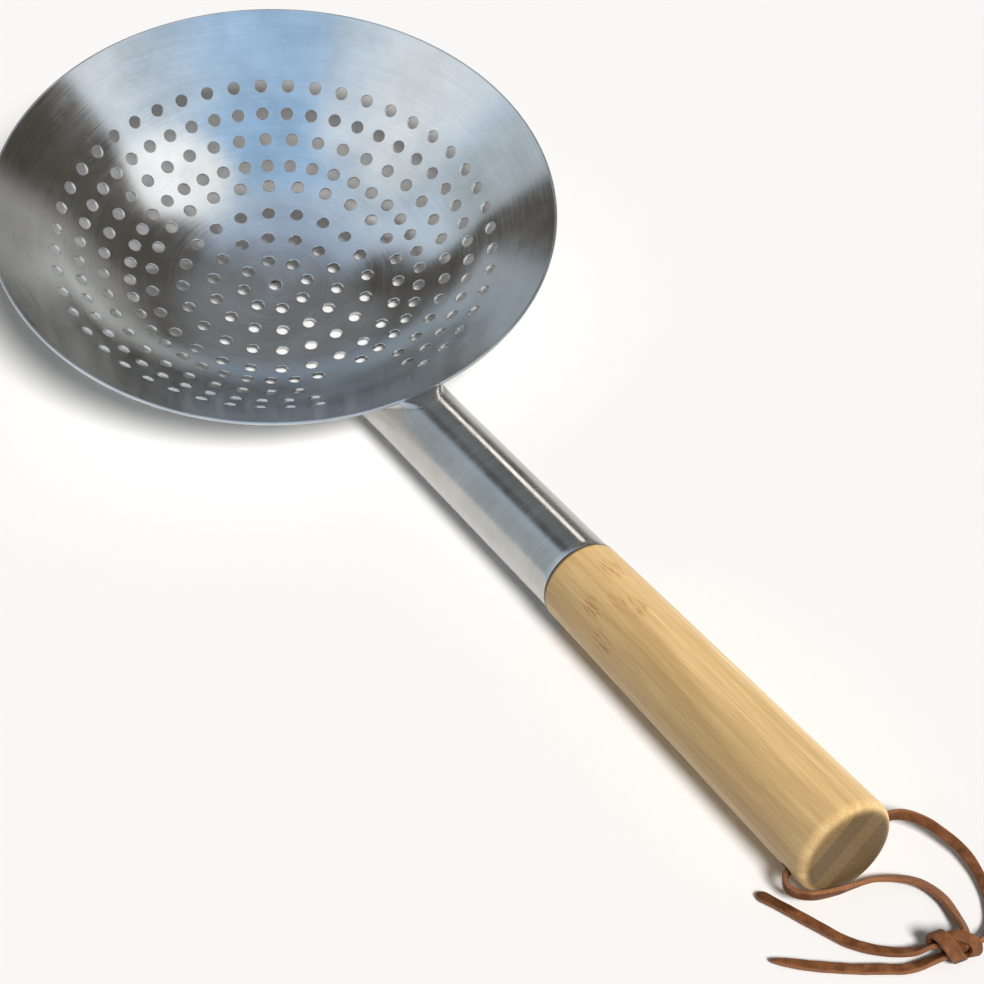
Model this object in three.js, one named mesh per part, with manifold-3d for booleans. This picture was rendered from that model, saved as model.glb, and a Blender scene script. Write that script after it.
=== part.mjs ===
// Perforated wok skimmer with a bamboo handle and a leather lanyard.
// It lies on a table, bowl down and handle end down, with +X from the bowl to the handle's end,
// +Z up, and its origin on the table under the middle of the skimmer. Millimetres and degrees.
import * as THREE from 'three';
import { mergeVertices } from 'three/addons/utils/BufferGeometryUtils.js';
import Module from 'manifold-3d';

// Bowl
const rimRadius = 110;
const bowlDepth = 48;
const bowlSheet = 1.2;
const wallAngle = 40.5;
const crownRadius = 300;
const crownReach = 25;
const bowlSides = 72;
const crownSteps = 2;
const knuckleSteps = 6;

// Drain holes: rings around one hole at the centre, turned from the handle's direction
const holeRadius = 2.5;
const holeSides = 6;
const cellHalf = 3.3;
const holeRings = [
  { radius: 13.0, count: 8, turn: 28 },
  { radius: 25.0, count: 14, turn: 3.2 },
  { radius: 37.1, count: 20, turn: 11.1 },
  { radius: 49.4, count: 26, turn: 1.5 },
  { radius: 57.8, count: 39, turn: 6.2 },
  { radius: 67.9, count: 39, turn: 6.4 },
  { radius: 77.0, count: 48, turn: 4.6 },
  { radius: 85.9, count: 48, turn: 4.6 },
];

// Socket tube: its axis rises from the rim plane and starts at a drop below the rim
const socketAngle = 13;
const socketDrop = 14.2;
const socketLength = 110;
const socketRadius = 14.5;
const socketMouthRadius = 14.9;
const socketFlareRadius = 14.8;
const socketFlareLength = 18;
const socketScarf = 53;
const socketSheet = 1.5;
const socketSides = 40;
const weldRadius = 1.5;
const weldSpan = 270;
const weldSteps = 40;
const weldSides = 8;

// Bamboo handle, from the socket's mouth to its end
const handleLength = 147.5;
const handleFrontRadius = 15.4;
const handleEndRadius = 17.7;
const handleEndRound = 5;
const handleFrontRound = 0.8;
const tenonLength = 60;
const plyCount = 5;
const plyRoll = 39;
const glueLine = 0.3;
const handleSides = 48;
const roundSteps = 4;

// Lanyard hole, across the handle
const laceHoleRadius = 2.9;
const laceHoleSetback = 7.5;
const laceHoleDrop = 8;
const laceHoleSides = 16;

// Leather lace: a flat strip, and the barrel of its knot
const laceWidth = 4.2;
const laceThickness = 2;
const laceInset = 0.8;
const laceLead = 1;
const knotRadius = 4.1;
const knotLength = 9;
const knotSides = 16;

// Gap that every fitted or touching pair keeps
const clearance = 0.3;

// The lace's routes: x from the hole's axis, y from the handle's middle, z from the table, and the
// lean of the strip, which is 0 where it lies flat and 90 where it stands on its edge
const leftStrandRoute = [
  [2.0, -18.6, 9.0, 90],
  [5.2, -18.2, 7.6, 90],
  [8.3, -13.6, 6.2, 95],
  [10.4, -6.1, 5.0, 108],
  [11.2, 0.7, 4.1, 122],
  [12.7, 7.4, 3.4, 138],
  [16.9, 13.6, 2.7, 150],
  [22.2, 18.4, 2.4, 155],
  [30.4, 20.5, 2.2, 155],
  [38.6, 19.3, 2.6, 145],
];
const rightStrandRoute = [
  [-0.2, 20.6, 9.7, 90],
  [0.2, 25.0, 9.5, 80],
  [2.9, 29.2, 8.9, 65],
  [7.9, 32.9, 7.6, 50],
  [14.8, 35.4, 5.8, 35],
  [21.8, 36.6, 4.2, 25],
  [29.8, 35.6, 2.9, 20],
  [37.0, 33.3, 2.2, 20],
  [43.6, 29.6, 2.2, 25],
  [48.6, 24.8, 2.8, 35],
];
const upperTailRoute = [
  [42.4, -0.3, 3.0, 20],
  [35.8, -7.6, 1.8, 8],
  [27.7, -13.2, 1.4, 0],
  [17.4, -17.2, 1.4, 0],
  [6.6, -21.0, 1.4, 0],
  [-3.6, -24.9, 1.4, 0],
];
const lowerTailRoute = [
  [45.9, -4.6, 1.6, 8],
  [40.9, -11.9, 1.4, 0],
  [35.6, -19.3, 1.4, 0],
  [28.0, -28.2, 1.4, 5],
  [19.5, -37.0, 1.6, 20],
];

// The knot's middle, its turn on the table, and where the four strands meet it: along, across, up, lean
const knotPlace = [48.3, 10.4, 4.3];
const knotTurn = -106;
const knotStrands = {
  left: [-1, -2.0, 0.3, 120],
  right: [-1, 1.9, 0.3, 60],
  upper: [1, -1.8, 0.9, 40],
  lower: [1, 1.7, -1.4, 25],
};

const wasm = await Module();
wasm.setup();

const radians = THREE.MathUtils.degToRad;

// Bowl section: a shallow crown, a knuckle arc and a straight wall, each tangent to the next.
// The knuckle's radius is the one that brings the wall to the rim at the bowl's depth.
const wall = radians(wallAngle);
const crownEnd = Math.asin(crownReach / crownRadius);
const crownRise = crownRadius * (1 - Math.cos(crownEnd));
const knuckleRadius = ((rimRadius - crownReach) * Math.tan(wall) - bowlDepth + crownRise)
  / ((Math.sin(wall) - Math.sin(crownEnd)) * Math.tan(wall) - Math.cos(crownEnd) + Math.cos(wall));
const crownCentreZ = crownRadius - bowlDepth;
const knuckleCentreR = crownReach - knuckleRadius * Math.sin(crownEnd);
const knuckleCentreZ = crownRise - bowlDepth + knuckleRadius * Math.cos(crownEnd);

// Points of the bowl's section, from the axis to the rim, at a distance outside its inner face
function bowlSection(outside) {
  const points = [];
  for (let i = 0; i < crownSteps; i += 1) {
    const angle = crownEnd * i / crownSteps;
    const radius = crownRadius + outside;
    points.push(new THREE.Vector2(radius * Math.sin(angle), crownCentreZ - radius * Math.cos(angle)));
  }
  for (let i = 0; i <= knuckleSteps; i += 1) {
    const angle = crownEnd + (wall - crownEnd) * i / knuckleSteps;
    const radius = knuckleRadius + outside;
    points.push(new THREE.Vector2(
      knuckleCentreR + radius * Math.sin(angle),
      knuckleCentreZ - radius * Math.cos(angle),
    ));
  }
  points.push(new THREE.Vector2(rimRadius + outside * Math.sin(wall), -outside * Math.cos(wall)));
  return points;
}

// Radius of that outside face at a height, with the straight wall carried on above the rim
function bowlRadiusAt(z, outside) {
  const wallFootZ = knuckleCentreZ - (knuckleRadius + outside) * Math.cos(wall);
  if (z < wallFootZ) {
    const drop = knuckleCentreZ - z;
    return knuckleCentreR + Math.sqrt(Math.max(0, (knuckleRadius + outside) ** 2 - drop ** 2));
  }
  return rimRadius + outside / Math.sin(wall) + z / Math.tan(wall);
}

// Solid of revolution about Z from points of radius and height
function revolved(points, sides) {
  const geometry = new THREE.LatheGeometry(points, sides);
  geometry.rotateX(Math.PI / 2);
  return geometry;
}

// Solid of revolution about X, for what lies along the handle's axis
function revolvedAlongX(points, sides) {
  const geometry = revolved(points, sides);
  geometry.rotateY(Math.PI / 2);
  return geometry;
}

function toSolid(geometry) {
  const bare = geometry.clone();
  bare.deleteAttribute('normal');
  bare.deleteAttribute('uv');
  const merged = mergeVertices(bare, 1e-5);
  const corners = merged.index.array;
  const kept = [];
  for (let i = 0; i < corners.length; i += 3) {
    const [a, b, c] = [corners[i], corners[i + 1], corners[i + 2]];
    if (a !== b && b !== c && c !== a) kept.push(a, b, c);
  }
  return new wasm.Manifold(new wasm.Mesh({
    numProp: 3,
    vertProperties: new Float32Array(merged.attributes.position.array),
    triVerts: new Uint32Array(kept),
  }));
}

function toGeometry(solid) {
  const mesh = solid.getMesh();
  const geometry = new THREE.BufferGeometry();
  geometry.setAttribute('position', new THREE.BufferAttribute(new Float32Array(mesh.vertProperties), 3));
  geometry.setIndex(new THREE.BufferAttribute(new Uint32Array(mesh.triVerts), 1));
  geometry.computeVertexNormals();
  return geometry;
}

function named(name, geometry, material) {
  const mesh = new THREE.Mesh(geometry, material);
  mesh.name = name;
  return mesh;
}

// Closed skin over rings of points, with a flat cap on each end
function skinned(rings) {
  const sides = rings[0].length;
  const positions = rings.flat().flatMap((p) => [p.x, p.y, p.z]);
  const index = [];
  for (let i = 0; i + 1 < rings.length; i += 1) {
    for (let j = 0; j < sides; j += 1) {
      const a = i * sides + j;
      const b = i * sides + (j + 1) % sides;
      index.push(a, b, b + sides, a, b + sides, a + sides);
    }
  }
  const last = (rings.length - 1) * sides;
  for (let j = 1; j + 1 < sides; j += 1) {
    index.push(0, j + 1, j);
    index.push(last, last + j, last + j + 1);
  }
  const geometry = new THREE.BufferGeometry();
  geometry.setAttribute('position', new THREE.Float32BufferAttribute(positions, 3));
  geometry.setIndex(index);
  geometry.computeVertexNormals();
  return geometry;
}

// The sheet's slope and height at a radius of its inner face
function bowlSlopeAt(radius) {
  if (radius < crownReach) return Math.asin(radius / crownRadius);
  const wallFootR = knuckleCentreR + knuckleRadius * Math.sin(wall);
  return radius < wallFootR ? Math.asin((radius - knuckleCentreR) / knuckleRadius) : wall;
}

function bowlHeightAt(radius) {
  const slope = bowlSlopeAt(radius);
  if (radius < crownReach) return crownCentreZ - crownRadius * Math.cos(slope);
  if (slope < wall) return knuckleCentreZ - knuckleRadius * Math.cos(slope);
  return (radius - rimRadius) * Math.tan(wall);
}

// Triangles between two closed loops, each a list of corners with an angle about the same middle
function zipLoops(outer, inner) {
  const turnTo = (from, to) => {
    const turn = (to - from) % (2 * Math.PI);
    return turn < 0 ? turn + 2 * Math.PI : turn;
  };
  const nearest = (angle) => {
    const away = (corner) => Math.abs(Math.PI - turnTo(angle, corner.angle + Math.PI));
    return inner.reduce((best, corner, i) => (away(corner) < away(inner[best]) ? i : best), 0);
  };
  const first = nearest(outer[0].angle);
  const outerAt = (i) => outer[i % outer.length];
  const innerAt = (j) => inner[(first + j) % inner.length];
  const lead = turnTo(outer[0].angle - Math.PI, innerAt(0).angle) - Math.PI;
  const reach = (at, i) => (i === 0 ? 0 : turnTo(at(0).angle, at(i).angle) || 2 * Math.PI);
  const triangles = [];
  let [i, j] = [0, 0];
  while (i < outer.length || j < inner.length) {
    const outerMiddle = reach(outerAt, i) + reach(outerAt, i + 1);
    const innerMiddle = 2 * lead + reach(innerAt, j) + reach(innerAt, j + 1);
    const outerNext = j === inner.length || (i < outer.length && outerMiddle <= innerMiddle);
    if (outerNext) {
      triangles.push([outerAt(i).id, outerAt(i + 1).id, innerAt(j).id]);
      i += 1;
    } else {
      triangles.push([outerAt(i).id, innerAt(j + 1).id, innerAt(j).id]);
      j += 1;
    }
  }
  return triangles;
}

// Bowl: each ring of holes is a band of cells with one hole each, and plain strips join the bands.
// The pattern is laid out once on the inner face, and again on the outer face at the sheet's thickness.
function bowlGeometry() {
  const places = [];
  const faces = [];
  const holes = [];
  const corner = (radius, turn, angle) => {
    places.push([radius, turn]);
    return { id: places.length - 1, angle };
  };
  const circle = (radius, count, turn) => Array.from({ length: count }, (_, i) => {
    const angle = turn + 2 * Math.PI * i / count;
    return corner(radius, angle, angle);
  });
  const hole = (radius, turn) => Array.from({ length: holeSides }, (_, i) => {
    const angle = 2 * Math.PI * i / holeSides;
    const out = radius + holeRadius * Math.cos(angle) * Math.cos(bowlSlopeAt(radius));
    const across = holeRadius * Math.sin(angle);
    return corner(Math.hypot(out, across), turn + Math.atan2(across, out), angle);
  });
  const middle = hole(0, 0);
  holes.push(middle);
  let edge = middle;
  for (const { radius, count, turn } of holeRings) {
    const start = radians(turn);
    const half = cellHalf * Math.cos(bowlSlopeAt(radius));
    const near = circle(radius - half, count, start - Math.PI / count);
    const far = circle(radius + half, count, start - Math.PI / count);
    faces.push(...zipLoops(near, edge));
    for (let i = 0; i < count; i += 1) {
      const next = (i + 1) % count;
      const cell = [[far[i], 7], [far[next], 1], [near[next], 3], [near[i], 5]];
      const round = [cell[1], cell[2], cell[3], cell[0]]
        .map(([{ id }, eighths]) => ({ id, angle: eighths * Math.PI / 4 }));
      const rim = hole(radius, start + 2 * Math.PI * i / count);
      holes.push(rim);
      faces.push(...zipLoops(round, rim));
    }
    edge = far;
  }
  const rim = circle(rimRadius, bowlSides, 0);
  faces.push(...zipLoops(rim, edge));
  const onFace = (outside) => places.flatMap(([radius, turn]) => {
    const slope = bowlSlopeAt(radius);
    const out = radius + outside * Math.sin(slope);
    const z = bowlHeightAt(radius) - outside * Math.cos(slope);
    return [out * Math.cos(turn), out * Math.sin(turn), z];
  });
  const under = places.length;
  const index = faces.flatMap(([a, b, c]) => [a, b, c, a + under, c + under, b + under]);
  const wallBetween = (a, b) => index.push(a, a + under, b + under, a, b + under, b);
  for (const loop of holes) {
    loop.forEach(({ id }, i) => wallBetween(loop[(i + 1) % loop.length].id, id));
  }
  rim.forEach(({ id }, i) => wallBetween(id, rim[(i + 1) % rim.length].id));
  const geometry = new THREE.BufferGeometry();
  geometry.setAttribute('position', new THREE.Float32BufferAttribute(
    [...onFace(0), ...onFace(bowlSheet)],
    3,
  ));
  geometry.setIndex(index);
  geometry.computeVertexNormals();
  return geometry;
}

// Everything inside the bowl's outer face and a gap, carried up past the rim
function bowlEnvelope(gap) {
  const outside = bowlSheet + gap;
  const above = socketRadius * 2;
  const section = bowlSection(outside);
  section.pop();
  section.push(new THREE.Vector2(bowlRadiusAt(above, outside), above));
  section.push(new THREE.Vector2(0, above));
  return toSolid(revolved(section, bowlSides));
}

// Socket tube, in its own frame: x along its axis from below the rim, with a scarf under the bowl
const socketTurn = -radians(socketAngle);
const toBowlFrame = new THREE.Matrix4()
  .makeRotationY(socketTurn)
  .setPosition(rimRadius, 0, -socketDrop);
const toSocketFrame = toBowlFrame.clone().invert();

function socketRadiusAt(x) {
  if (x < 0) {
    const out = Math.min(1, -x / socketFlareLength);
    return socketRadius + (socketFlareRadius - socketRadius) * out * out;
  }
  return socketRadius + (socketMouthRadius - socketRadius) * x / socketLength;
}

function socketSection(outside) {
  const places = [-socketScarf, -socketFlareLength, -socketFlareLength / 2, 0, socketLength];
  return places.map((x) => new THREE.Vector2(socketRadiusAt(x) + outside, x));
}

function inSocketFrame(solid) {
  const geometry = toGeometry(solid);
  geometry.applyMatrix4(toSocketFrame);
  return toSolid(geometry);
}

function socketGeometry() {
  const outer = socketSection(0);
  const inner = socketSection(-socketSheet).reverse();
  const tube = toSolid(revolvedAlongX([...outer, ...inner, outer[0].clone()], socketSides));
  return toGeometry(tube.subtract(inSocketFrame(bowlEnvelope(clearance))));
}

// Where the socket's outside meets the bowl's outside, by halving, at an angle round the tube
function saddlePoint(angle) {
  let low = -socketScarf;
  let high = socketRadius;
  const point = new THREE.Vector3();
  for (let i = 0; i < 40; i += 1) {
    const x = (low + high) / 2;
    const radius = socketRadiusAt(x);
    point.set(x, radius * Math.cos(angle), radius * Math.sin(angle)).applyMatrix4(toBowlFrame);
    const outside = Math.hypot(point.x, point.y) - bowlRadiusAt(point.z, bowlSheet);
    if (outside > 0) high = x;
    else low = x;
  }
  return point.applyMatrix4(toSocketFrame);
}

// Weld: a bead along that line, over the tube's top and down its flanks, cut back to both
function weldGeometry() {
  const rings = [];
  for (let i = 0; i <= weldSteps; i += 1) {
    const angle = radians(90 + weldSpan * (i / weldSteps - 0.5));
    const middle = saddlePoint(angle);
    const ring = [];
    for (let j = 0; j < weldSides; j += 1) {
      const side = 2 * Math.PI * j / weldSides;
      const out = weldRadius * Math.sin(side);
      ring.push(new THREE.Vector3(
        middle.x + weldRadius * Math.cos(side),
        middle.y + out * Math.cos(angle),
        middle.z + out * Math.sin(angle),
      ));
    }
    rings.push(ring);
  }
  const filledTube = [
    new THREE.Vector2(0, -socketScarf),
    ...socketSection(clearance),
    new THREE.Vector2(0, socketLength),
  ];
  const bead = toSolid(skinned(rings))
    .subtract(toSolid(revolvedAlongX(filledTube, socketSides)))
    .subtract(inSocketFrame(bowlEnvelope(clearance)));
  return toGeometry(bead);
}

// Handle: a taper with a rounded end and a tenon that fills the socket, sawn into glued plies
const handleEnd = socketLength + handleLength;
const laceHoleX = handleEnd - laceHoleSetback;
const tenonRadius = socketRadius - socketSheet - clearance;

function quarterRound(centreX, centreR, round, from, to) {
  const points = [];
  for (let i = 0; i <= roundSteps; i += 1) {
    const angle = radians(from + (to - from) * i / roundSteps);
    points.push(new THREE.Vector2(centreR + round * Math.sin(angle), centreX + round * Math.cos(angle)));
  }
  return points;
}

function handleSolid() {
  const front = socketLength + clearance;
  const section = [
    new THREE.Vector2(0, socketLength - tenonLength),
    new THREE.Vector2(tenonRadius, socketLength - tenonLength),
    new THREE.Vector2(tenonRadius, front),
    ...quarterRound(front + handleFrontRound, handleFrontRadius - handleFrontRound, handleFrontRound, 180, 90),
    ...quarterRound(handleEnd - handleEndRound, handleEndRadius - handleEndRound, handleEndRound, 90, 0),
    new THREE.Vector2(0, handleEnd),
  ];
  const drill = new THREE.CylinderGeometry(
    laceHoleRadius,
    laceHoleRadius,
    handleEndRadius * 3,
    laceHoleSides,
  );
  drill.translate(laceHoleX, 0, -laceHoleDrop);
  return toSolid(revolvedAlongX(section, handleSides)).subtract(toSolid(drill));
}

function plyGeometry(solid, number) {
  const pitch = 2 * handleEndRadius / plyCount;
  const length = 2 * (tenonLength + handleLength);
  const slab = new THREE.BoxGeometry(length, handleEndRadius * 3, pitch - glueLine);
  slab.translate(socketLength, 0, (number - (plyCount - 1) / 2) * pitch);
  slab.rotateX(radians(plyRoll));
  return toGeometry(solid.intersect(toSolid(slab)));
}

// The tilt at which the bowl and the handle's end touch the table together, by halving
function restTilt() {
  let low = 0;
  let high = radians(2 * socketAngle);
  for (let i = 0; i < 60; i += 1) {
    const tilt = (low + high) / 2;
    const rise = tilt - radians(socketAngle);
    const bowlFoot = knuckleCentreR * Math.sin(tilt) - knuckleCentreZ * Math.cos(tilt)
      + knuckleRadius + bowlSheet;
    const handleFoot = rimRadius * Math.sin(tilt) + socketDrop * Math.cos(tilt)
      + (handleEnd - handleEndRound) * Math.sin(rise)
      + (handleEndRadius - handleEndRound) * Math.cos(rise) + handleEndRound;
    if (handleFoot > bowlFoot) high = tilt;
    else low = tilt;
  }
  return (low + high) / 2;
}

// Lace: the strip's section carried along a route, turned by its lean about the route's direction
function laceSection() {
  const corner = laceThickness / 4;
  const [w, t] = [laceWidth / 2, laceThickness / 2];
  return [
    [w, t - corner], [w - corner, t], [corner - w, t], [-w, t - corner],
    [-w, corner - t], [corner - w, -t], [w - corner, -t], [w, corner - t],
  ];
}

function laceGeometry(route, steps) {
  const curve = new THREE.CatmullRomCurve3(route.map(([x, y, z]) => new THREE.Vector3(x, y, z)));
  const up = new THREE.Vector3(0, 0, 1);
  const rings = [];
  for (let i = 0; i <= steps; i += 1) {
    const share = i / steps;
    const place = share * (route.length - 1);
    const before = Math.min(route.length - 2, Math.floor(place));
    const lean = radians(THREE.MathUtils.lerp(route[before][3], route[before + 1][3], place - before));
    const along = curve.getTangent(share);
    const side = new THREE.Vector3().crossVectors(up, along).normalize();
    const over = new THREE.Vector3().crossVectors(along, side);
    const width = side.clone().multiplyScalar(Math.cos(lean)).addScaledVector(over, Math.sin(lean));
    const thick = new THREE.Vector3().crossVectors(along, width);
    const middle = curve.getPoint(share);
    rings.push(laceSection().map(([w, t]) => middle.clone()
      .addScaledVector(width, w)
      .addScaledVector(thick, t)));
  }
  return skinned(rings);
}

// Where a strand meets the knot's end, and the point that leads it there square to that end
function knotMeeting([end, across, up, lean]) {
  const turn = radians(knotTurn);
  return [clearance, clearance + laceLead].map((gap) => {
    const along = end * (knotLength / 2 + gap);
    return [
      knotPlace[0] + along * Math.cos(turn) - across * Math.sin(turn),
      knotPlace[1] + along * Math.sin(turn) + across * Math.cos(turn),
      knotPlace[2] + up,
      lean,
    ];
  });
}

function knotGeometry() {
  const half = knotLength / 2;
  const section = [
    new THREE.Vector2(0, -half),
    new THREE.Vector2(knotRadius * 0.8, -half),
    new THREE.Vector2(knotRadius, -half / 2),
    new THREE.Vector2(knotRadius, half / 2),
    new THREE.Vector2(knotRadius * 0.8, half),
    new THREE.Vector2(0, half),
  ];
  const barrel = revolvedAlongX(section, knotSides);
  barrel.rotateZ(radians(knotTurn));
  barrel.translate(...knotPlace);
  return barrel;
}

// Finishes
const steel = () => new THREE.MeshStandardMaterial({ color: 0xb9bdc0, roughness: 0.32, metalness: 1 });
const weldSteel = () => new THREE.MeshStandardMaterial({ color: 0xa9aaa8, roughness: 0.5, metalness: 1 });
const bamboo = () => new THREE.MeshStandardMaterial({ color: 0xdeb878, roughness: 0.5, metalness: 0 });
const leather = () => new THREE.MeshStandardMaterial({ color: 0xa5603c, roughness: 0.6, metalness: 0 });

// Assembly: the bowl's frame is tilted to rest, and the socket's frame is turned inside it
const skimmer = new THREE.Group();
const bowlFrame = new THREE.Group();
const socketFrame = new THREE.Group();
const lanyardFrame = new THREE.Group();
skimmer.add(bowlFrame);
bowlFrame.add(socketFrame);
bowlFrame.rotation.y = restTilt();
socketFrame.position.set(rimRadius, 0, -socketDrop);
socketFrame.rotation.y = socketTurn;

bowlFrame.add(named('bowl', bowlGeometry(), steel()));
socketFrame.add(named('socket_tube', socketGeometry(), steel()));
socketFrame.add(named('weld_bead', weldGeometry(), weldSteel()));
const handle = handleSolid();
for (let i = 0; i < plyCount; i += 1) {
  socketFrame.add(named(`bamboo_ply_${i + 1}`, plyGeometry(handle, i), bamboo()));
}

// The skimmer without its lanyard sets the origin: the middle of its box, on the table
skimmer.updateMatrixWorld(true);
const box = new THREE.Box3().setFromObject(skimmer, true);
const middle = box.getCenter(new THREE.Vector3());
bowlFrame.position.set(-middle.x, -middle.y, -box.min.z);
skimmer.updateMatrixWorld(true);
const laceHole = socketFrame.localToWorld(new THREE.Vector3(laceHoleX, 0, -laceHoleDrop));

// The lanyard lies on the table and hangs on the hole's axis
lanyardFrame.position.set(laceHole.x, 0, 0);
skimmer.add(lanyardFrame);
const mouth = Math.sqrt(handleEndRadius ** 2 - laceHoleDrop ** 2) - laceInset;
const acrossHole = (y) => [0, y, laceHole.z, 90];
const innerRoute = [acrossHole(-mouth), acrossHole(0), acrossHole(mouth)];
const leftMouth = [acrossHole(-mouth - clearance), acrossHole(-mouth - laceLead)];
const rightMouth = [acrossHole(mouth + clearance), acrossHole(mouth + laceLead)];
const laceStretches = {
  lace_in_hole: [innerRoute, 4],
  lace_left: [[...leftMouth, ...leftStrandRoute, ...knotMeeting(knotStrands.left).reverse()], 28],
  lace_right: [[...rightMouth, ...rightStrandRoute, ...knotMeeting(knotStrands.right).reverse()], 28],
  lace_tail_upper: [[...knotMeeting(knotStrands.upper), ...upperTailRoute], 14],
  lace_tail_lower: [[...knotMeeting(knotStrands.lower), ...lowerTailRoute], 14],
};
for (const [name, [route, steps]] of Object.entries(laceStretches)) {
  lanyardFrame.add(named(name, laceGeometry(route, steps), leather()));
}
lanyardFrame.add(named('lace_knot', knotGeometry(), leather()));

export default skimmer;
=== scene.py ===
# %% [markdown]
# # A perforated wok skimmer
# The tool is a dished steel bowl full of round drain holes, a steel socket tube welded to its rim, a
# laminated bamboo handle and a knotted leather lace. The solids of the part are loaded first as a fixed
# frame in metres. Every piece below is worked out in that frame, so it lies where its solid lies and needs
# no fitting.

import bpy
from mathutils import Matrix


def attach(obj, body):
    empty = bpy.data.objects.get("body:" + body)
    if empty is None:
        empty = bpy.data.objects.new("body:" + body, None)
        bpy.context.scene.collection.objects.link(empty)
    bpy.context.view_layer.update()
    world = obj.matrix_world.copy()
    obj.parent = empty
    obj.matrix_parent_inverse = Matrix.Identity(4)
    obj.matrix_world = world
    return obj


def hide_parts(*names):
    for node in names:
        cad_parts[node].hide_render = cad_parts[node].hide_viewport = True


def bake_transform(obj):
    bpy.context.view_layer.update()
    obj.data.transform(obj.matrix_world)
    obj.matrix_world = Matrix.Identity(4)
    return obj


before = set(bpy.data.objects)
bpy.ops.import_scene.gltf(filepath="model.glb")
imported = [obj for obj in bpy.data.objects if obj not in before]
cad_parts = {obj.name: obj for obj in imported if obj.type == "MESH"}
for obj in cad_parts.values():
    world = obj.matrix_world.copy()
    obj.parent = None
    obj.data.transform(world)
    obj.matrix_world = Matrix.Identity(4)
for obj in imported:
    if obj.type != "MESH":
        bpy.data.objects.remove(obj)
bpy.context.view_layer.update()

# %% Tools
from math import asin, cos, pi, radians, sin, tan

import bpy
import numpy as np
from mathutils import Matrix

MM = 0.001


def full_turn(count):
    """Turns in equal steps, once round."""
    return 2 * pi * np.arange(count) / count


def unit(vectors):
    """Vectors brought to a length of one."""
    return vectors / np.linalg.norm(vectors, axis=-1, keepdims=True)


def into_scene(name, data):
    """A new object with this data, linked to the scene."""
    made = bpy.data.objects.new(name, data)
    bpy.context.scene.collection.objects.link(made)
    return made


# %% [markdown]
# ## The camera
# The view is the photograph's: from above the handle's end, with a long lens. The place and the three
# directions below were measured from the rim's ellipse and the handle's edges. A camera looks along its own
# -Z, so its matrix is built from the right, up and back directions.

# %% Camera
image_size = 984
focal_length = 2653
sensor_width = 36
camera_place = (0.65358, -0.34245, 0.65253)
camera_right = (0.52893, 0.84628, -0.06367)
camera_up = (-0.54146, 0.39428, 0.74254)
camera_back = (0.65350, -0.35827, 0.66677)

camera_data = bpy.data.cameras.new("view")
camera_data.sensor_width = sensor_width
camera_data.lens = sensor_width * focal_length / image_size
camera = into_scene("view", camera_data)
camera_axes = np.stack([camera_right, camera_up, camera_back, camera_place], axis=1)
camera.matrix_world = Matrix(np.vstack([camera_axes, [0, 0, 0, 1]]).tolist())
bpy.context.scene.camera = camera
print("lens:", round(camera_data.lens, 2), "mm")

# %% [markdown]
# ## Making a piece
# Each piece is a set of points and faces worked out by numpy. Most are grids: rows of points, one after
# another, joined by quads. One helper joins a grid, and another puts points and faces into a mesh, shades it
# smooth, and tells the frame which body carries it and which solids it stands for.

# %% Helpers for faces
def grid_quads(rows, columns):
    """Quads between neighbouring rows of a grid, whose last column joins its first."""
    row, column = np.meshgrid(columns * np.arange(rows - 1), np.arange(columns), indexing="ij")
    beside = (column + 1) % columns
    corners = row + column, row + beside, row + columns + beside, row + columns + column
    return np.stack(corners, axis=-1).reshape(-1, 4)


def cap(first, columns, middle, outwards):
    """Triangles that close a ring of points, from number first, on a point in its middle."""
    ring = first + np.arange(columns)
    beside = first + (np.arange(columns) + 1) % columns
    middles = np.full(columns, middle)
    corners = [ring, beside, middles] if outwards else [beside, ring, middles]
    return np.stack(corners, axis=-1)


def closed_tube(rows, columns, first=0):
    """Faces of a tube of closed rows, from point number first, that end on two more points after the
    rows."""
    end = first + rows * columns
    return [
        grid_quads(rows, columns) + first,
        cap(first, columns, end, False),
        cap(end - columns, columns, end + 1, True),
    ]


# %% Helpers for pieces
def new_mesh(name, points, faces):
    """A mesh object of these points and groups of faces."""
    mesh = bpy.data.meshes.new(name)
    mesh.from_pydata(np.reshape(points, (-1, 3)), [], [face for group in faces for face in group.tolist()])
    return into_scene(name, mesh)


def new_piece(name, points, faces, body, finish, *nodes):
    """A smooth piece that rides on a body, if one is named, and stands for solids. Its finish is not used."""
    piece = new_mesh(name, points, faces)
    mesh = piece.data
    mesh.polygons.foreach_set("use_smooth", np.ones(len(mesh.polygons), bool))
    mesh.update()
    if body:
        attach(piece, body)
    if nodes:
        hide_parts(*nodes)
    print(name, len(mesh.vertices), "points", len(mesh.polygons), "faces")
    return piece


def give_vectors(piece, name, vectors):
    """Stores one vector for each point of the mesh, for a material to read."""
    attribute = piece.data.attributes.new(name, "FLOAT_VECTOR", "POINT")
    attribute.data.foreach_set("vector", np.ascontiguousarray(vectors, np.float32).ravel())


# %% [markdown]
# ## The leather lace
# The lace is one flat strip of leather. It runs through a cross hole in the handle, and its two ends are
# tied together in a knot, which leaves two tails. A curve with a flat bevel could make it, but the strip
# also leans: it stands on edge where it leaves the hole and lies flat at the tails. So the strip is a
# section carried along a route, and each stop of the route has a lean. A lean of 0 lies flat on the table
# and 90 stands on edge.

# %% Lace route
lace_width = 3.4 * MM
lace_thickness = 1.8 * MM
lace_hole = np.array([227.573, 0, 9.680]) * MM
lace_mouth = 15.3
print("lace hole at", np.round(lace_hole / MM, 1), "mm")


def route(stops):
    """Stops given as x from the hole's axis, y and z in millimetres and a lean in degrees, in metres."""
    stops = np.array(stops, float)
    stops[:, :3] *= MM
    stops[:, 0] += lace_hole[0]
    return stops


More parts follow.
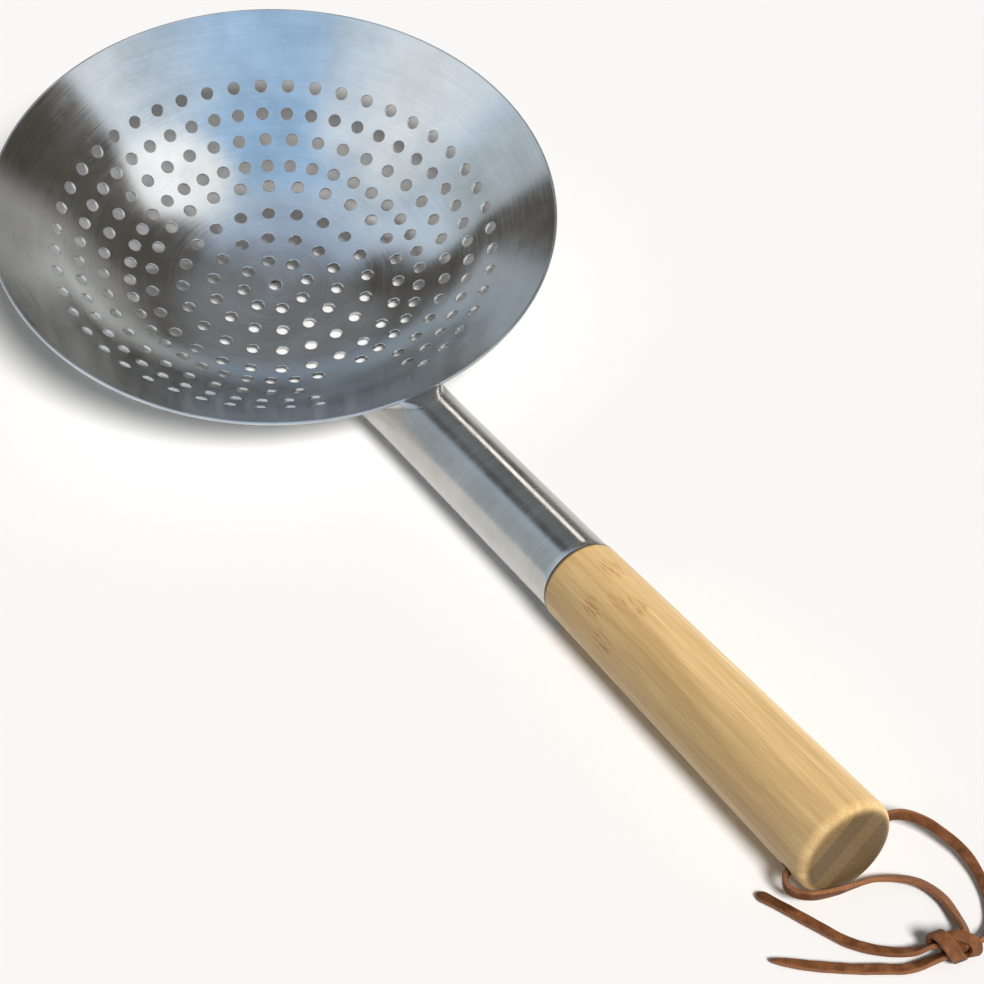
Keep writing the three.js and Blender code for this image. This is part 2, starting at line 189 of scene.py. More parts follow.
def smooth_curve(stops, count):
    """Points on one curve through all stops: a cubic between two stops, with the slope at each stop that its
    neighbours give, and the square root of the distance between stops as the parameter."""
    steps = np.sqrt(np.linalg.norm(np.diff(stops[:, :3], axis=0), axis=1))
    knots = np.concatenate([[0], np.cumsum(steps)])
    slopes = np.gradient(stops, knots, axis=0)
    place = np.linspace(0, knots[-1], count)
    k = np.clip(np.searchsorted(knots, place, side="right") - 1, 0, len(knots) - 2)
    span = (knots[k + 1] - knots[k])[:, None]
    u = (place - knots[k])[:, None] / span
    return (
        stops[k] * (1 + 2 * u) * (1 - u) ** 2
        + stops[k + 1] * u * u * (3 - 2 * u)
        + slopes[k] * span * u * (1 - u) ** 2
        + slopes[k + 1] * span * u * u * (u - 1)
    )


# %% Lace stops
hole_height = lace_hole[2] / MM
left_route = route([
    [0, -13.0, hole_height, 90], [0, -16.0, hole_height, 90],
    [2.0, -18.6, 9.0, 90], [5.4, -18.6, 7.6, 90], [9.5, -13.9, 6.1, 95], [11.8, -6.1, 5.0, 108],
    [12.6, 0.7, 4.1, 122], [13.6, 7.4, 3.4, 138], [16.9, 13.6, 2.7, 150], [22.2, 18.4, 2.4, 155],
    [30.4, 20.5, 2.2, 155], [38.6, 19.3, 2.6, 145], [46.7, 16.3, 4.4, 125], [49.5, 12.0, 4.6, 120],
])
right_route = route([
    [0, 13.0, hole_height, 90], [0, 16.0, hole_height, 90],
    [-0.2, 20.6, 9.7, 90], [0.2, 25.0, 9.5, 80], [2.9, 29.2, 8.9, 65], [7.9, 32.9, 7.6, 50],
    [14.8, 35.4, 5.8, 35], [21.8, 36.6, 4.2, 25], [29.8, 35.6, 2.9, 20], [37.0, 33.3, 2.2, 20],
    [43.6, 29.6, 2.2, 25], [48.6, 24.8, 2.8, 35], [51.6, 16.5, 4.4, 55], [50.6, 12.5, 4.6, 60],
])
upper_tail_route = route([
    [48.6, 9.0, 5.0, 40], [45.3, 5.2, 5.0, 40],
    [42.4, -0.3, 3.0, 20], [35.8, -7.6, 1.8, 8], [27.7, -13.2, 1.4, 0], [17.4, -17.2, 1.4, 0],
    [6.6, -21.0, 1.4, 0], [-3.6, -24.9, 1.4, 0],
])
lower_tail_route = route([
    [49.6, 9.0, 3.4, 30], [48.6, 4.2, 2.9, 25],
    [45.9, -4.6, 1.6, 8], [40.9, -11.9, 1.4, 0], [35.6, -19.3, 1.4, 0], [28.0, -28.2, 1.4, 5],
    [19.5, -37.0, 1.6, 20],
])
inner_route = route([[0, -14, hole_height, 90], [0, 0, hole_height, 90], [0, 14, hole_height, 90]])
print("lace stops:", [len(stops) for stops in (left_route, right_route, upper_tail_route, lower_tail_route)])

# %% Strip section
section_sides = 24
section_square = 0.34
section_turn = full_turn(section_sides)
section_across = np.sign(np.cos(section_turn)) * np.abs(np.cos(section_turn)) ** section_square
section_up = np.sign(np.sin(section_turn)) * np.abs(np.sin(section_turn)) ** section_square
section_edge = np.abs(np.cos(section_turn)) ** 6
section_flesh = np.clip(-2 * np.sin(section_turn), 0, 1)
print("strip section:", section_sides, "points")


def strip_frames(curve):
    """The strip's middle, width and thickness directions along a curve of x, y, z and lean."""
    middle = curve[:, :3]
    along = unit(np.gradient(middle, axis=0))
    side = unit(np.cross([0, 0, 1], along))
    over = np.cross(along, side)
    lean = np.radians(curve[:, 3])[:, None]
    width = side * np.cos(lean) + over * np.sin(lean)
    return middle, width, np.cross(along, width)


def strip_points(middle, width, thick, taper):
    """A rounded rectangle at each place of a path: cosines and sines raised to a small power, which squares
    a circle off, times half the width and half the thickness. The last two points are the ends' middles."""
    across = section_across * lace_width / 2
    up = section_up * lace_thickness / 2
    place = np.linspace(0, 1, len(middle))[:, None]
    ragged = 1 + 0.03 * np.sin(23 * place + 3 * np.cos(section_turn)) + 0.02 * np.sin(61 * place)
    points = (
        middle[:, None]
        + width[:, None] * (across * taper[:, None] * ragged)[..., None]
        + thick[:, None] * (up * (0.55 + 0.45 * taper[:, None]))[..., None]
    )
    return np.vstack([points.reshape(-1, 3), middle[:1], middle[-1:]])


# %% Lace strips
narrow_from = 0.86
round_from = 0.965
cut_end = 0.7


def lace_strip(name, stops, count, tip, body, *nodes):
    """A strip along a route, closed at both ends, whose last part narrows to a share of the width at its
    tip."""
    middle, width, thick = strip_frames(smooth_curve(stops, count))
    place = np.linspace(0, 1, count)
    taper = 1 - (1 - tip) * np.clip((place - narrow_from) / (1 - narrow_from), 0, 1) ** 2
    if tip != 1:
        taper = taper * np.sqrt(1 - 0.8 * np.clip((place - round_from) / (1 - round_from), 0, 1) ** 2)
    points = strip_points(middle, width, thick, taper)
    strip = new_piece(name, points, closed_tube(count, section_sides), body, "leather", *nodes)
    length = np.concatenate([[0], np.cumsum(np.linalg.norm(np.diff(middle, axis=0), axis=1))])
    facts = np.stack(np.broadcast_arrays(section_edge, section_flesh, length[:, None]), axis=-1)
    ends = [[cut_end, 0, 0], [cut_end, 0, length[-1]]]
    give_vectors(strip, "hide", np.vstack([facts.reshape(-1, 3), ends]))
    return strip, middle, length[-1]


left_strand, left_path, left_length = lace_strip("lace_left_strand", left_route, 120, 1, None, "lace_left")
right_strand, right_path, right_length = lace_strip(
    "lace_right_strand", right_route, 120, 1, None, "lace_right"
)
upper_tail, upper_path, upper_length = lace_strip(
    "lace_upper_tail", upper_tail_route, 90, 1.06, "lanyard", "lace_tail_upper"
)
lower_tail, lower_path, lower_length = lace_strip(
    "lace_lower_tail", lower_tail_route, 90, 0.35, "lanyard", "lace_tail_lower"
)
inner_lace, _, _ = lace_strip("lace_through_handle", inner_route, 24, 1, "lanyard", "lace_in_hole")
for strand in (left_strand, right_strand):
    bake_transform(strand)

# %% [markdown]
# ## The knot
# The two ends are tied together in one overhand knot, so two bands wrap round the strands that pass through
# it. A simulated rope would be hard to steer. Here each band is a strip on a helix round the knot's own
# axis: its turn and its place along the axis both change steadily, and its flat side faces away from the
# axis.

# %% Knot wraps
knot_middle = np.array([275.87, 10.4, 4.3]) * MM
knot_turn = radians(-106)
knot_along = np.array([cos(knot_turn), sin(knot_turn), 0])
knot_side = np.array([-sin(knot_turn), cos(knot_turn), 0])
knot_up = np.array([0, 0, 1.0])
band_count = 60


def wrap_band(stops, wide):
    """A strip round the knot: its stops give a place along the knot's axis, a turn about it and a distance
    from it, and the strip's flat side faces away from the axis."""
    stops = np.array(stops, float) * [MM, 1, MM]
    even_stops = np.column_stack([np.arange(len(stops)), 0 * stops[:, :2], stops])
    path = smooth_curve(even_stops, band_count)[:, 3:]
    turn = np.radians(path[:, 1:2])
    out = knot_side * np.cos(turn) + knot_up * np.sin(turn)
    middle = knot_middle + knot_along * path[:, :1] + out * path[:, 2:]
    along = unit(np.gradient(middle, axis=0))
    width = unit(np.cross(out, along))
    return strip_points(middle, width, np.cross(along, width), np.full(band_count, wide))


front_wrap = [[5.4, 195, 2.8], [5.2, 150, 4.2], [4.6, 112, 5.3], [3.1, 70, 5.2], [1.5, 25, 5.0],
              [-0.2, -20, 4.5], [-1.6, -60, 3.7], [-2.4, -100, 2.8]]
end_wrap = [[2.2, 160, 3.0], [0.7, 112, 4.1], [-2.2, 80, 4.4], [-4.8, 55, 4.3], [-5.8, 25, 4.3],
            [-5.4, -10, 4.2], [-4.3, -45, 3.7], [-3.0, -90, 2.8]]
knot_bands = [wrap_band(front_wrap, 1.3), wrap_band(end_wrap, 1.05)]
print("knot bands:", len(knot_bands))

# %% Knot core
core_half = 5.0 * MM
core_radius = 3.3 * MM
core_shift = -0.8 * MM
core_lift = np.linspace(-pi / 2, pi / 2, 16)[1:-1, None]
core_out = knot_side * np.cos(section_turn)[:, None] + knot_up * np.sin(section_turn)[:, None]
core_along = knot_along * (core_half * np.sin(core_lift) + core_shift)[..., None]
core_points = knot_middle + core_along + core_radius * np.cos(core_lift)[..., None] * core_out
core_tips = knot_middle + knot_along * (np.array([[-core_half], [core_half]]) + core_shift)
core = np.vstack([core_points.reshape(-1, 3), core_tips])
knot_points = np.vstack([*knot_bands, core])
knot_faces = []
for k, band in enumerate(knot_bands):
    knot_faces += closed_tube(band_count, section_sides, k * len(band))
knot_faces += closed_tube(len(core_lift), section_sides, len(knot_points) - len(core))
knot = new_piece("lace_knot_wraps", knot_points, knot_faces, "lanyard", "leather", "lace_knot")
band_edge = np.tile(0.12 + 0.88 * section_edge, band_count)
band_place = np.repeat(np.linspace(0, 0.03, band_count), section_sides)
band_facts = np.stack([band_edge, 0 * band_edge, band_place], axis=-1)
band_facts = np.vstack([band_facts, [[cut_end, 0, 0]] * 2])
give_vectors(knot, "hide", np.vstack([*[band_facts] * len(knot_bands), 0 * core]))

# %% Lace lengths
for strand, path, length, far_end, exit_place in (
    (left_strand, left_path, left_length, "knot", (lace_hole[0], -lace_mouth * MM, lace_hole[2])),
    (right_strand, right_path, right_length, "knot", (lace_hole[0], lace_mouth * MM, lace_hole[2])),
    (upper_tail, upper_path, upper_length, "bare", tuple(knot_middle)),
    (lower_tail, lower_path, lower_length, "bare", tuple(knot_middle)),
):
    print(strand.name, round(length / MM, 1), "mm long")

# %% [markdown]
# ## The bowl's section
# The bowl is spun from one sheet. Its section is a shallow crown, a knuckle arc and a straight wall, each
# tangent to the next, so the slope of the sheet at any radius follows from three formulas. Everything on the
# bowl is then given by a radius, a turn about the bowl's axis and a depth into the sheet.

# %% Bowl section
rim_radius = 110 * MM
bowl_depth = 48 * MM
bowl_sheet = 1.2 * MM
wall_slope = radians(40.5)
crown_radius = 300 * MM
crown_reach = 25 * MM
crown_slope = asin(crown_reach / crown_radius)
crown_rise = crown_radius * (1 - cos(crown_slope))
knuckle_radius = ((rim_radius - crown_reach) * tan(wall_slope) - bowl_depth + crown_rise) / (
    (sin(wall_slope) - sin(crown_slope)) * tan(wall_slope) - cos(crown_slope) + cos(wall_slope)
)
knuckle_out = crown_reach - knuckle_radius * sin(crown_slope)
knuckle_height = crown_rise - bowl_depth + knuckle_radius * cos(crown_slope)
wall_foot = knuckle_out + knuckle_radius * sin(wall_slope)

bowl_tilt = radians(12.539)
rim_middle = np.array([-126.776, 0, 53.413]) * MM
print("knuckle radius:", round(knuckle_radius / MM, 1), "mm")
print("wall from radius:", round(wall_foot / MM, 1), "mm")

# %% Bowl sheet
def bowl_slope(radius):
    """The sheet's slope at a radius: an arcsine on the crown and on the knuckle, and constant on the
    wall."""
    crown = np.arcsin(np.clip(radius / crown_radius, 0, 1))
    knuckle = np.arcsin(np.clip((radius - knuckle_out) / knuckle_radius, -1, 1))
    return np.where(radius < crown_reach, crown, np.where(radius < wall_foot, knuckle, wall_slope))


def bowl_height(radius):
    """The inner face's height at a radius, measured from the rim's plane."""
    slope = bowl_slope(radius)
    crown = crown_radius - bowl_depth - crown_radius * np.cos(slope)
    knuckle = knuckle_height - knuckle_radius * np.cos(slope)
    wall = (radius - rim_radius) * tan(wall_slope)
    return np.where(radius < crown_reach, crown, np.where(radius < wall_foot, knuckle, wall))


def bowl_to_part(vectors):
    """Turns vectors of the bowl's own frame, whose z is the bowl's axis, by the tilt at which the tool
    lies."""
    x, y, z = np.moveaxis(vectors, -1, 0)
    return np.stack([x * cos(bowl_tilt) + z * sin(bowl_tilt), y, z * cos(bowl_tilt) - x * sin(bowl_tilt)], -1)


def bowl_directions(radius, turn):
    """The sheet's normal, its uphill direction and its round direction at a radius and a turn."""
    slope = bowl_slope(radius)
    flat = 0 * radius
    normal = [-np.sin(slope) * np.cos(turn), -np.sin(slope) * np.sin(turn), np.cos(slope)]
    uphill = [np.cos(slope) * np.cos(turn), np.cos(slope) * np.sin(turn), np.sin(slope)]
    around = [-np.sin(turn), np.cos(turn), flat]
    return [bowl_to_part(np.stack(np.broadcast_arrays(*v), -1)) for v in (normal, uphill, around)]


def bowl_points(radius, turn, depth):
    """Points at a radius and a turn of the inner face, moved square to the sheet by a depth."""
    slope = bowl_slope(radius)
    out = radius + depth * np.sin(slope)
    height = bowl_height(radius) - depth * np.cos(slope)
    own = np.stack(np.broadcast_arrays(out * np.cos(turn), out * np.sin(turn), height), -1)
    return bowl_to_part(own) + rim_middle


print("underside in the middle:", np.round(bowl_points(np.zeros(1), 0, bowl_sheet) / MM, 1), "mm")

# %% [markdown]
# ## The bowl's drain holes
# Hundreds of boolean cuts would leave long thin faces that spoil a reflection. Instead each hole gets a
# cell: a patch of sheet with the hole in its middle. A cell's grid runs from its border to the hole, round a
# small rounded edge, down the hole's wall, and out again on the underside. Strips of triangles join one ring
# of cells to the next, and the border points are merged at the end. Over the socket tube a few cells are
# left without a hole. A row of the rings' table has a radius, a count, the first hole's turn, and the turns
# between which it is plain.

# %% Hole cells
hole_radius = 2.5 * MM
hole_edge = 0.30 * MM
cell_half = 3.3 * MM
side_steps = 6
hole_rings = [
    (13.0, 8, 28, 0, 0), (25.0, 14, 3.2, 0, 0), (37.1, 20, 11.1, 0, 0), (49.4, 26, 1.5, 0, 0),
    (57.8, 39, 6.2, -6, 0), (67.9, 39, 6.4, -15, 9), (77.0, 48, 4.6, -13, 7), (85.9, 48, 4.6, -13, 7),
]
cell_columns = 4 * side_steps
column_turn = -pi / 4 + full_turn(cell_columns)
half_root = 0.5 ** 0.5
edge_out = np.array([hole_edge, hole_edge * (1 - half_root), 0])
edge_deep = np.array([0, hole_edge * (1 - half_root), hole_edge])
ring_out = np.concatenate([edge_out, edge_out[::-1]])
ring_deep = np.concatenate([edge_deep, bowl_sheet - edge_deep[::-1]])
ring_up = np.array([1, half_root, 0, 0, -half_root, -1])
print("rings of holes:", len(hole_rings))


def hole_cells(radius, turns, border_radius, border_turn):
    """Points and normals of the cells with holes at a radius and these turns. A ring of a hole is a circle
    in the plane that touches the sheet there, so its outward part is shortened by the sheet's slope."""
    slope = float(bowl_slope(np.array(radius)))
    reach = hole_radius + ring_out[:, None]
    out = radius + reach * np.cos(column_turn) * cos(slope)
    across = reach * np.sin(column_turn)
    ring_radius = np.hypot(out, across)
    ring_turn = turns[:, None, None] + np.arctan2(across, out)
    rings = bowl_points(ring_radius[None], ring_turn, ring_deep[None, :, None])
    top = bowl_points(border_radius, border_turn, 0 * MM)
    bottom = bowl_points(border_radius, border_turn, bowl_sheet)
    points = np.concatenate([top[:, None], rings, bottom[:, None]], axis=1)
    normal, uphill, around = bowl_directions(ring_radius[None], ring_turn)
    inwards = -(uphill * np.cos(column_turn)[:, None] + around * np.sin(column_turn)[:, None])
    lift = ring_up[:, None, None]
    ring_normals = normal * lift + inwards * np.sqrt(1 - lift * lift)
    border_normal = bowl_directions(border_radius, border_turn)[0]
    normals = np.concatenate([border_normal[:, None], ring_normals, -border_normal[:, None]], axis=1)
    return points, normals


def cell_border(radius, turns, count):
    """The border of each cell in a ring: out at its far side, back at its near side, in equal steps."""
    half = cell_half * np.cos(bowl_slope(np.array(radius)))
    step = np.arange(side_steps) / side_steps * 2 - 1
    far, near = radius + half, radius - half
    side = np.ones(side_steps)
    border_radius = np.concatenate([far * side, radius - half * step, near * side, radius + half * step])
    border_turn = np.concatenate([step, side, -step, -side]) * pi / count
    turn = turns[:, None] + border_turn
    return np.broadcast_to(border_radius, turn.shape), turn, near, far


# %% Strips between rings
def loop(radius, count, first_turn):
    """A closed loop of points at one radius, as radii and turns."""
    return np.full(count, radius), first_turn + full_turn(count)


def zip_loops(inner, outer):
    """Triangles between two closed loops of different counts. Each step goes along the loop whose next
    halfway turn comes first, so all steps sorted by that turn give the triangles at once."""
    rolled = []
    for radii, turns in (inner, outer):
        start = np.argmin(np.abs((turns + pi) % (2 * pi) - pi))
        turns = np.roll(turns, -start)
        from_zero = (turns[0] + pi) % (2 * pi) - pi
        rolled.append((np.roll(radii, -start), from_zero + full_turn(len(turns))))
    (inner_radius, inner_turn), (outer_radius, outer_turn) = rolled
    n, m = len(inner_turn), len(outer_turn)
    halfway = np.concatenate([inner_turn + pi / n, outer_turn + pi / m])
    order = np.argsort(halfway, kind="stable")
    on_inner = order < n
    i = np.cumsum(on_inner) - on_inner
    j = np.cumsum(~on_inner) - ~on_inner
    third = np.where(on_inner, (i + 1) % n, n + (j + 1) % m)
    triangles = np.stack([i % n, n + j % m, third], axis=-1)
    return np.concatenate([inner_radius, outer_radius]), np.concatenate([inner_turn, outer_turn]), triangles


# %% Bowl patches
bowl_patches = []


def add_patch(points, normals, turn, radius, faces):
    """Keeps a patch of the bowl until all are merged."""
    facts = np.stack(np.broadcast_arrays(radius * np.cos(turn), radius * np.sin(turn), radius), -1)
    bowl_patches.append((points.reshape(-1, 3), normals.reshape(-1, 3), facts.reshape(-1, 3), faces))


def add_both_faces(radius, turn, triangles):
    """Triangles on the inner face and again, turned over, on the outer face."""
    normal = bowl_directions(radius, turn)[0]
    add_patch(bowl_points(radius, turn, 0 * MM), normal, turn, radius, triangles)
    add_patch(bowl_points(radius, turn, bowl_sheet), -normal, turn, radius, triangles[:, ::-1])


def add_cells(radius, turns, border_radius, border_turn):
    """All cells of a ring, with one grid of quads for each."""
    points, normals = hole_cells(radius, turns, border_radius, border_turn)
    cells, rows = points.shape[:2]
    quads = grid_quads(rows, cell_columns)
    faces = (quads[None] + np.arange(cells)[:, None, None] * rows * cell_columns).reshape(-1, 4)
    turn = np.broadcast_to(border_turn[:, None], points.shape[:3])
    reach = np.broadcast_to(border_radius[:, None], points.shape[:3])
    add_patch(points, normals, turn, reach, faces)


def add_plain_cells(radius, turns, border_radius, border_turn):
    """Cells without a hole: a fan of triangles from the border to the cell's middle, on both faces."""
    reach = np.hstack([border_radius, np.full((len(turns), 1), radius)])
    turn = np.hstack([border_turn, turns[:, None]])
    fan = cap(0, cell_columns, cell_columns, True)
    triangles = (fan[None] + np.arange(len(turns))[:, None, None] * (cell_columns + 1)).reshape(-1, 3)
    add_both_faces(reach, turn, triangles)


# %% Bowl rings
add_cells(0.0, np.zeros(1), np.full((1, cell_columns), cell_half), column_turn[None])
edge_loop = loop(cell_half, cell_columns, column_turn[0])
for ring_mm, count, turn_degrees, plain_from, plain_to in hole_rings:
    first_turn = radians(turn_degrees)
    turns = first_turn + full_turn(count)
    from_handle = (np.degrees(turns) + 180) % 360 - 180
    plain = (from_handle > plain_from) & (from_handle < plain_to)
    border_radius, border_turn, near, far = cell_border(ring_mm * MM, turns, count)
    add_cells(ring_mm * MM, turns[~plain], border_radius[~plain], border_turn[~plain])
    if plain.any():
        add_plain_cells(ring_mm * MM, turns[plain], border_radius[plain], border_turn[plain])
    add_both_faces(*zip_loops(edge_loop, loop(near, side_steps * count, first_turn - pi / count)))
    edge_loop = loop(far, side_steps * count, first_turn - pi / count)
print("bowl patches:", len(bowl_patches))

# %% Bowl wall and rim
rim_steps = 8
rim_start = rim_radius - bowl_sheet / 2 * cos(wall_slope)
rim_bend = pi * np.arange(rim_steps + 1) / rim_steps
plain_radius = np.array([edge_loop[0][0], 93 * MM, 98 * MM, 104 * MM])
wall_radius = np.concatenate([
    plain_radius,
    rim_start + bowl_sheet / 2 * np.sin(rim_bend) * cos(wall_slope),
    plain_radius[::-1],
])[:, None]
no_depth = 0 * plain_radius
rim_deep = bowl_sheet / 2 * (1 - np.cos(rim_bend))
wall_deep = np.concatenate([no_depth, rim_deep, no_depth + bowl_sheet])[:, None]
wall_lift = np.concatenate([no_depth, rim_bend, no_depth + pi])[:, None, None]
wall_turn = edge_loop[1][None]
wall_points = bowl_points(wall_radius, wall_turn, wall_deep)
wall_normal, wall_uphill, _ = bowl_directions(np.broadcast_to(wall_radius, wall_points.shape[:2]), wall_turn)
wall_normals = wall_normal * np.cos(wall_lift) + wall_uphill * np.sin(wall_lift)
wall_quads = grid_quads(len(wall_radius), wall_turn.size)[:, ::-1]
add_patch(wall_points, wall_normals, wall_turn, wall_radius, wall_quads)


def merge_patches(patches):
    """One set of points for all patches: points that agree to a micrometre become one."""
    points = np.vstack([patch[0] for patch in patches])
    starts = np.cumsum([0] + [len(patch[0]) for patch in patches])
    micrometres = np.round(points / (0.001 * MM))
    _, kept, place = np.unique(micrometres, axis=0, return_index=True, return_inverse=True)
    faces = [place.ravel()[patch[3] + start] for patch, start in zip(patches, starts)]
    normals = np.vstack([patch[1] for patch in patches])[kept]
    facts = np.vstack([patch[2] for patch in patches])[kept]
    return points[kept], normals, facts, faces


points, normals, facts, faces = merge_patches(bowl_patches)
bowl = new_piece("perforated_bowl", points, faces, "skimmer", "steel", "bowl")
bowl.data.normals_split_custom_set_from_vertices(normals)
give_vectors(bowl, "spun", facts)
give_vectors(bowl, "grain", bowl_directions(facts[:, 2], np.arctan2(facts[:, 1], facts[:, 0]))[1])

# %% [markdown]
# ## The socket tube
# The tube is rolled sheet, cut to a saddle that fits the bowl's outside, and it widens a little at its sides
# there. Its grid runs round the tube and along it: the first row is the saddle, found for all turns at once
# by halving. The last rows go round the mouth's lip and back inside to the saddle, where they join the first
# row.

# %% Socket frame
socket_angle = radians(13)
socket_drop = 14.2 * MM
socket_length = 109.2 * MM
socket_radius = 14.5 * MM
mouth_radius = 14.9 * MM
socket_rise = bowl_tilt - socket_angle
socket_along = np.array([cos(socket_rise), 0, -sin(socket_rise)])
socket_over = np.array([sin(socket_rise), 0, cos(socket_rise)])
socket_start = bowl_to_part(np.array([rim_radius, 0, -socket_drop])) + rim_middle
print("socket starts at", np.round(socket_start / MM, 1), "mm")


def socket_points(along, radius, turn):
    """Points at a place along the socket's axis, at a radius and a turn from its left side over its top."""
    along, radius, turn = np.broadcast_arrays(along, radius, turn)
    across = np.array([0, 1.0, 0])
    return (
        socket_start
        + along[..., None] * socket_along
        + (radius * np.cos(turn))[..., None] * across
        + (radius * np.sin(turn))[..., None] * socket_over
    )


def tube_radius(along):
    """The tube's radius: even over the bowl, then a slow taper to its mouth."""
    return socket_radius + (mouth_radius - socket_radius) * np.clip(along / socket_length, 0, 1)


# %% Tube near the weld
side_flare = 2.0 * MM
flare_fade = 9 * MM
top_sink = 1.3 * MM
weld_reach = 6.0 * MM
print("weld reaches", weld_reach / MM, "mm along the tube")


def low_sides(turn):
    """How much a turn lies on the tube's sides, more so below the middle: the cosine's size less a share of
    the sine, clipped and raised to the fourth power."""
    return np.clip(np.abs(np.cos(turn)) - 0.35 * np.sin(turn), 0, 1.05) ** 4


def high_top(turn):
    """How much a turn lies on the tube's top: a sine's square."""
    return np.clip(np.sin(turn), 0, 1) ** 2


def joint_radius(along, turn, from_saddle):
    """The tube's radius near the bowl: the sides flare by a fading exponential, and the top dips under the
    weld."""
    flare = side_flare * low_sides(turn) * np.exp(-np.clip(from_saddle, 0, None) / flare_fade)
    dip = top_sink * high_top(turn) * np.clip(1 - from_saddle / weld_reach, 0, 1) ** 2
    return tube_radius(along) + flare - dip


def give_socket_facts(piece, along, turn, from_weld):
    """Stores what the steel's finish reads: places round and along the tube, the grain, and the weld's tint,
    which is partly welding tint and partly painted shade low on the tube's sides."""
    places = np.broadcast_arrays(socket_radius * np.cos(turn), socket_radius * np.sin(turn), along)
    # painted shade: this share darkens the tube low on its sides beside the weld, for the shade under the
    # bowl's rim, as well as welding tint
    heat = np.clip(1.3 * low_sides(turn), 0, 1) * np.exp(-np.clip(from_weld, 0, None) / flare_fade)
    give_vectors(piece, "spun", np.stack(places, -1))
    give_vectors(piece, "grain", np.broadcast_to(socket_along, (*places[0].shape, 3)))
    give_vectors(piece, "heat", np.stack([heat] * 3, axis=-1))


# %% Saddle
socket_scarf = 53 * MM


def part_to_bowl(points):
    """Coordinates of points in the bowl's own frame, from the middle of its rim."""
    x, y, z = np.moveaxis(points - rim_middle, -1, 0)
    return x * cos(bowl_tilt) - z * sin(bowl_tilt), y, x * sin(bowl_tilt) + z * cos(bowl_tilt)


def outside_of_bowl(points):
    """How far points lie outside the bowl's outer face, measured across the bowl's axis."""
    own_x, y, own_z = part_to_bowl(points)
    outer = knuckle_radius + bowl_sheet
    foot = knuckle_height - outer * cos(wall_slope)
    round_part = knuckle_out + np.sqrt(np.maximum(0, outer**2 - (knuckle_height - own_z) ** 2))
    straight_part = rim_radius + bowl_sheet / sin(wall_slope) + own_z / tan(wall_slope)
    return np.hypot(own_x, y) - np.where(own_z < foot, round_part, straight_part)


def saddle(turn, extra):
    """Where a tube of this much extra radius meets the bowl's outside, along the axis, by halving."""
    low = np.full(turn.shape, -socket_scarf)
    high = np.full(turn.shape, 2 * socket_radius)
    for _ in range(40):
        middle = (low + high) / 2
        outside = outside_of_bowl(socket_points(middle, tube_radius(middle) + extra, turn)) > 0
        high = np.where(outside, middle, high)
        low = np.where(outside, low, middle)
    return (low + high) / 2


print("saddle at the top:", round(float(saddle(np.array(pi / 2), 0)) / MM, 1), "mm along the axis")

# %% Socket tube
tube_columns = 144
socket_sheet = 1.5 * MM
saddle_sink = 0.3 * MM
tube_turn = full_turn(tube_columns)
tube_start = saddle(tube_turn, 0)
row_share = np.linspace(0, 1, 60)[:, None] ** 1.6
lip = 0.15 * MM
outer_along = tube_start - saddle_sink + (socket_length - lip - tube_start + saddle_sink) * row_share
outer_radius = joint_radius(outer_along, tube_turn, outer_along - tube_start)
lip_bend = np.array([45, 90])[:, None] * pi / 180
lip_along = socket_length - lip + lip * np.sin(lip_bend) + 0 * tube_turn
lip_radius = mouth_radius - lip + lip * np.cos(lip_bend) + 0 * tube_turn
inside_start = saddle(tube_turn, -socket_sheet) - saddle_sink
inside_along = socket_length + (inside_start - socket_length) * np.linspace(0, 1, 12)[:, None]
inside_radius = tube_radius(inside_along) - socket_sheet
tube_along = np.vstack([outer_along, lip_along, inside_along])
tube_points = socket_points(tube_along, np.vstack([outer_radius, lip_radius, inside_radius]), tube_turn)
tube_faces = [grid_quads(len(tube_along) + 1, tube_columns) % tube_along.size]
tube = new_piece("socket_sleeve", tube_points, tube_faces, "skimmer", "steel", "socket_tube")
tube.data.set_sharp_from_angle(angle=radians(60))
give_socket_facts(tube, tube_along, tube_turn, tube_along - tube_start)

# %% [markdown]
# ## The ground weld
# Tube and bowl are welded, and over the tube's top the weld is ground until wall, rim and tube flow into
# each other. It is a strip round the tube: at each turn a cubic leaves the tube along it and ends on the
# bowl. At the sides it ends on the bowl's outside, and over the top it goes across the rim to the inner
# face. Where the cubic would sink into the rim's round edge it is pushed out to it. One corner keeps a small
# bump, where the grinder didn't reach.

# %% Weld ends
weld_columns = 200
side_leg = 2.6 * MM
weld_rise = 2.4 * MM
rim_overlap = 1.4 * MM
weld_degrees = np.linspace(-45, 225, weld_columns)
weld_turn = np.radians(weld_degrees)
weld_ends = np.clip((135 - np.abs(weld_degrees - 90)) / 30, 0.05, 1)
weld_top = high_top(weld_turn)
over_rim = np.clip((58 - np.abs(weld_degrees - 90)) / 24, 0, 1)
over_rim = over_rim**2 * (3 - 2 * over_rim)
weld_leg = (side_leg + (weld_reach - side_leg) * weld_top) * weld_ends
weld_corner = saddle(weld_turn, 0)
weld_foot = weld_corner + weld_leg
tube_end = socket_points(weld_foot, joint_radius(weld_foot, weld_turn, weld_leg) - 0.01 * MM, weld_turn)
rise = weld_rise * weld_ends
outside_end = socket_points(saddle(weld_turn, rise), tube_radius(weld_corner) + rise, weld_turn)
end_x, end_y, end_z = part_to_bowl(outside_end)
rim_turn = np.arctan2(end_y, end_x)
rim_low = -bowl_sheet * cos(wall_slope) * 0.5
rim_edge = bowl_points(np.full(weld_columns, rim_start), rim_turn, bowl_sheet * 0.8)
outside_end = np.where((end_z > rim_low)[:, None], rim_edge, outside_end)
inner_reach = np.full(weld_columns, rim_start - rim_overlap)
inside_end = bowl_points(inner_reach, rim_turn, -0.03 * MM)
bowl_end = outside_end + (inside_end - outside_end) * over_rim[:, None]
print("weld legs:", round(weld_leg.min() / MM, 1), "to", round(weld_leg.max() / MM, 1), "mm")

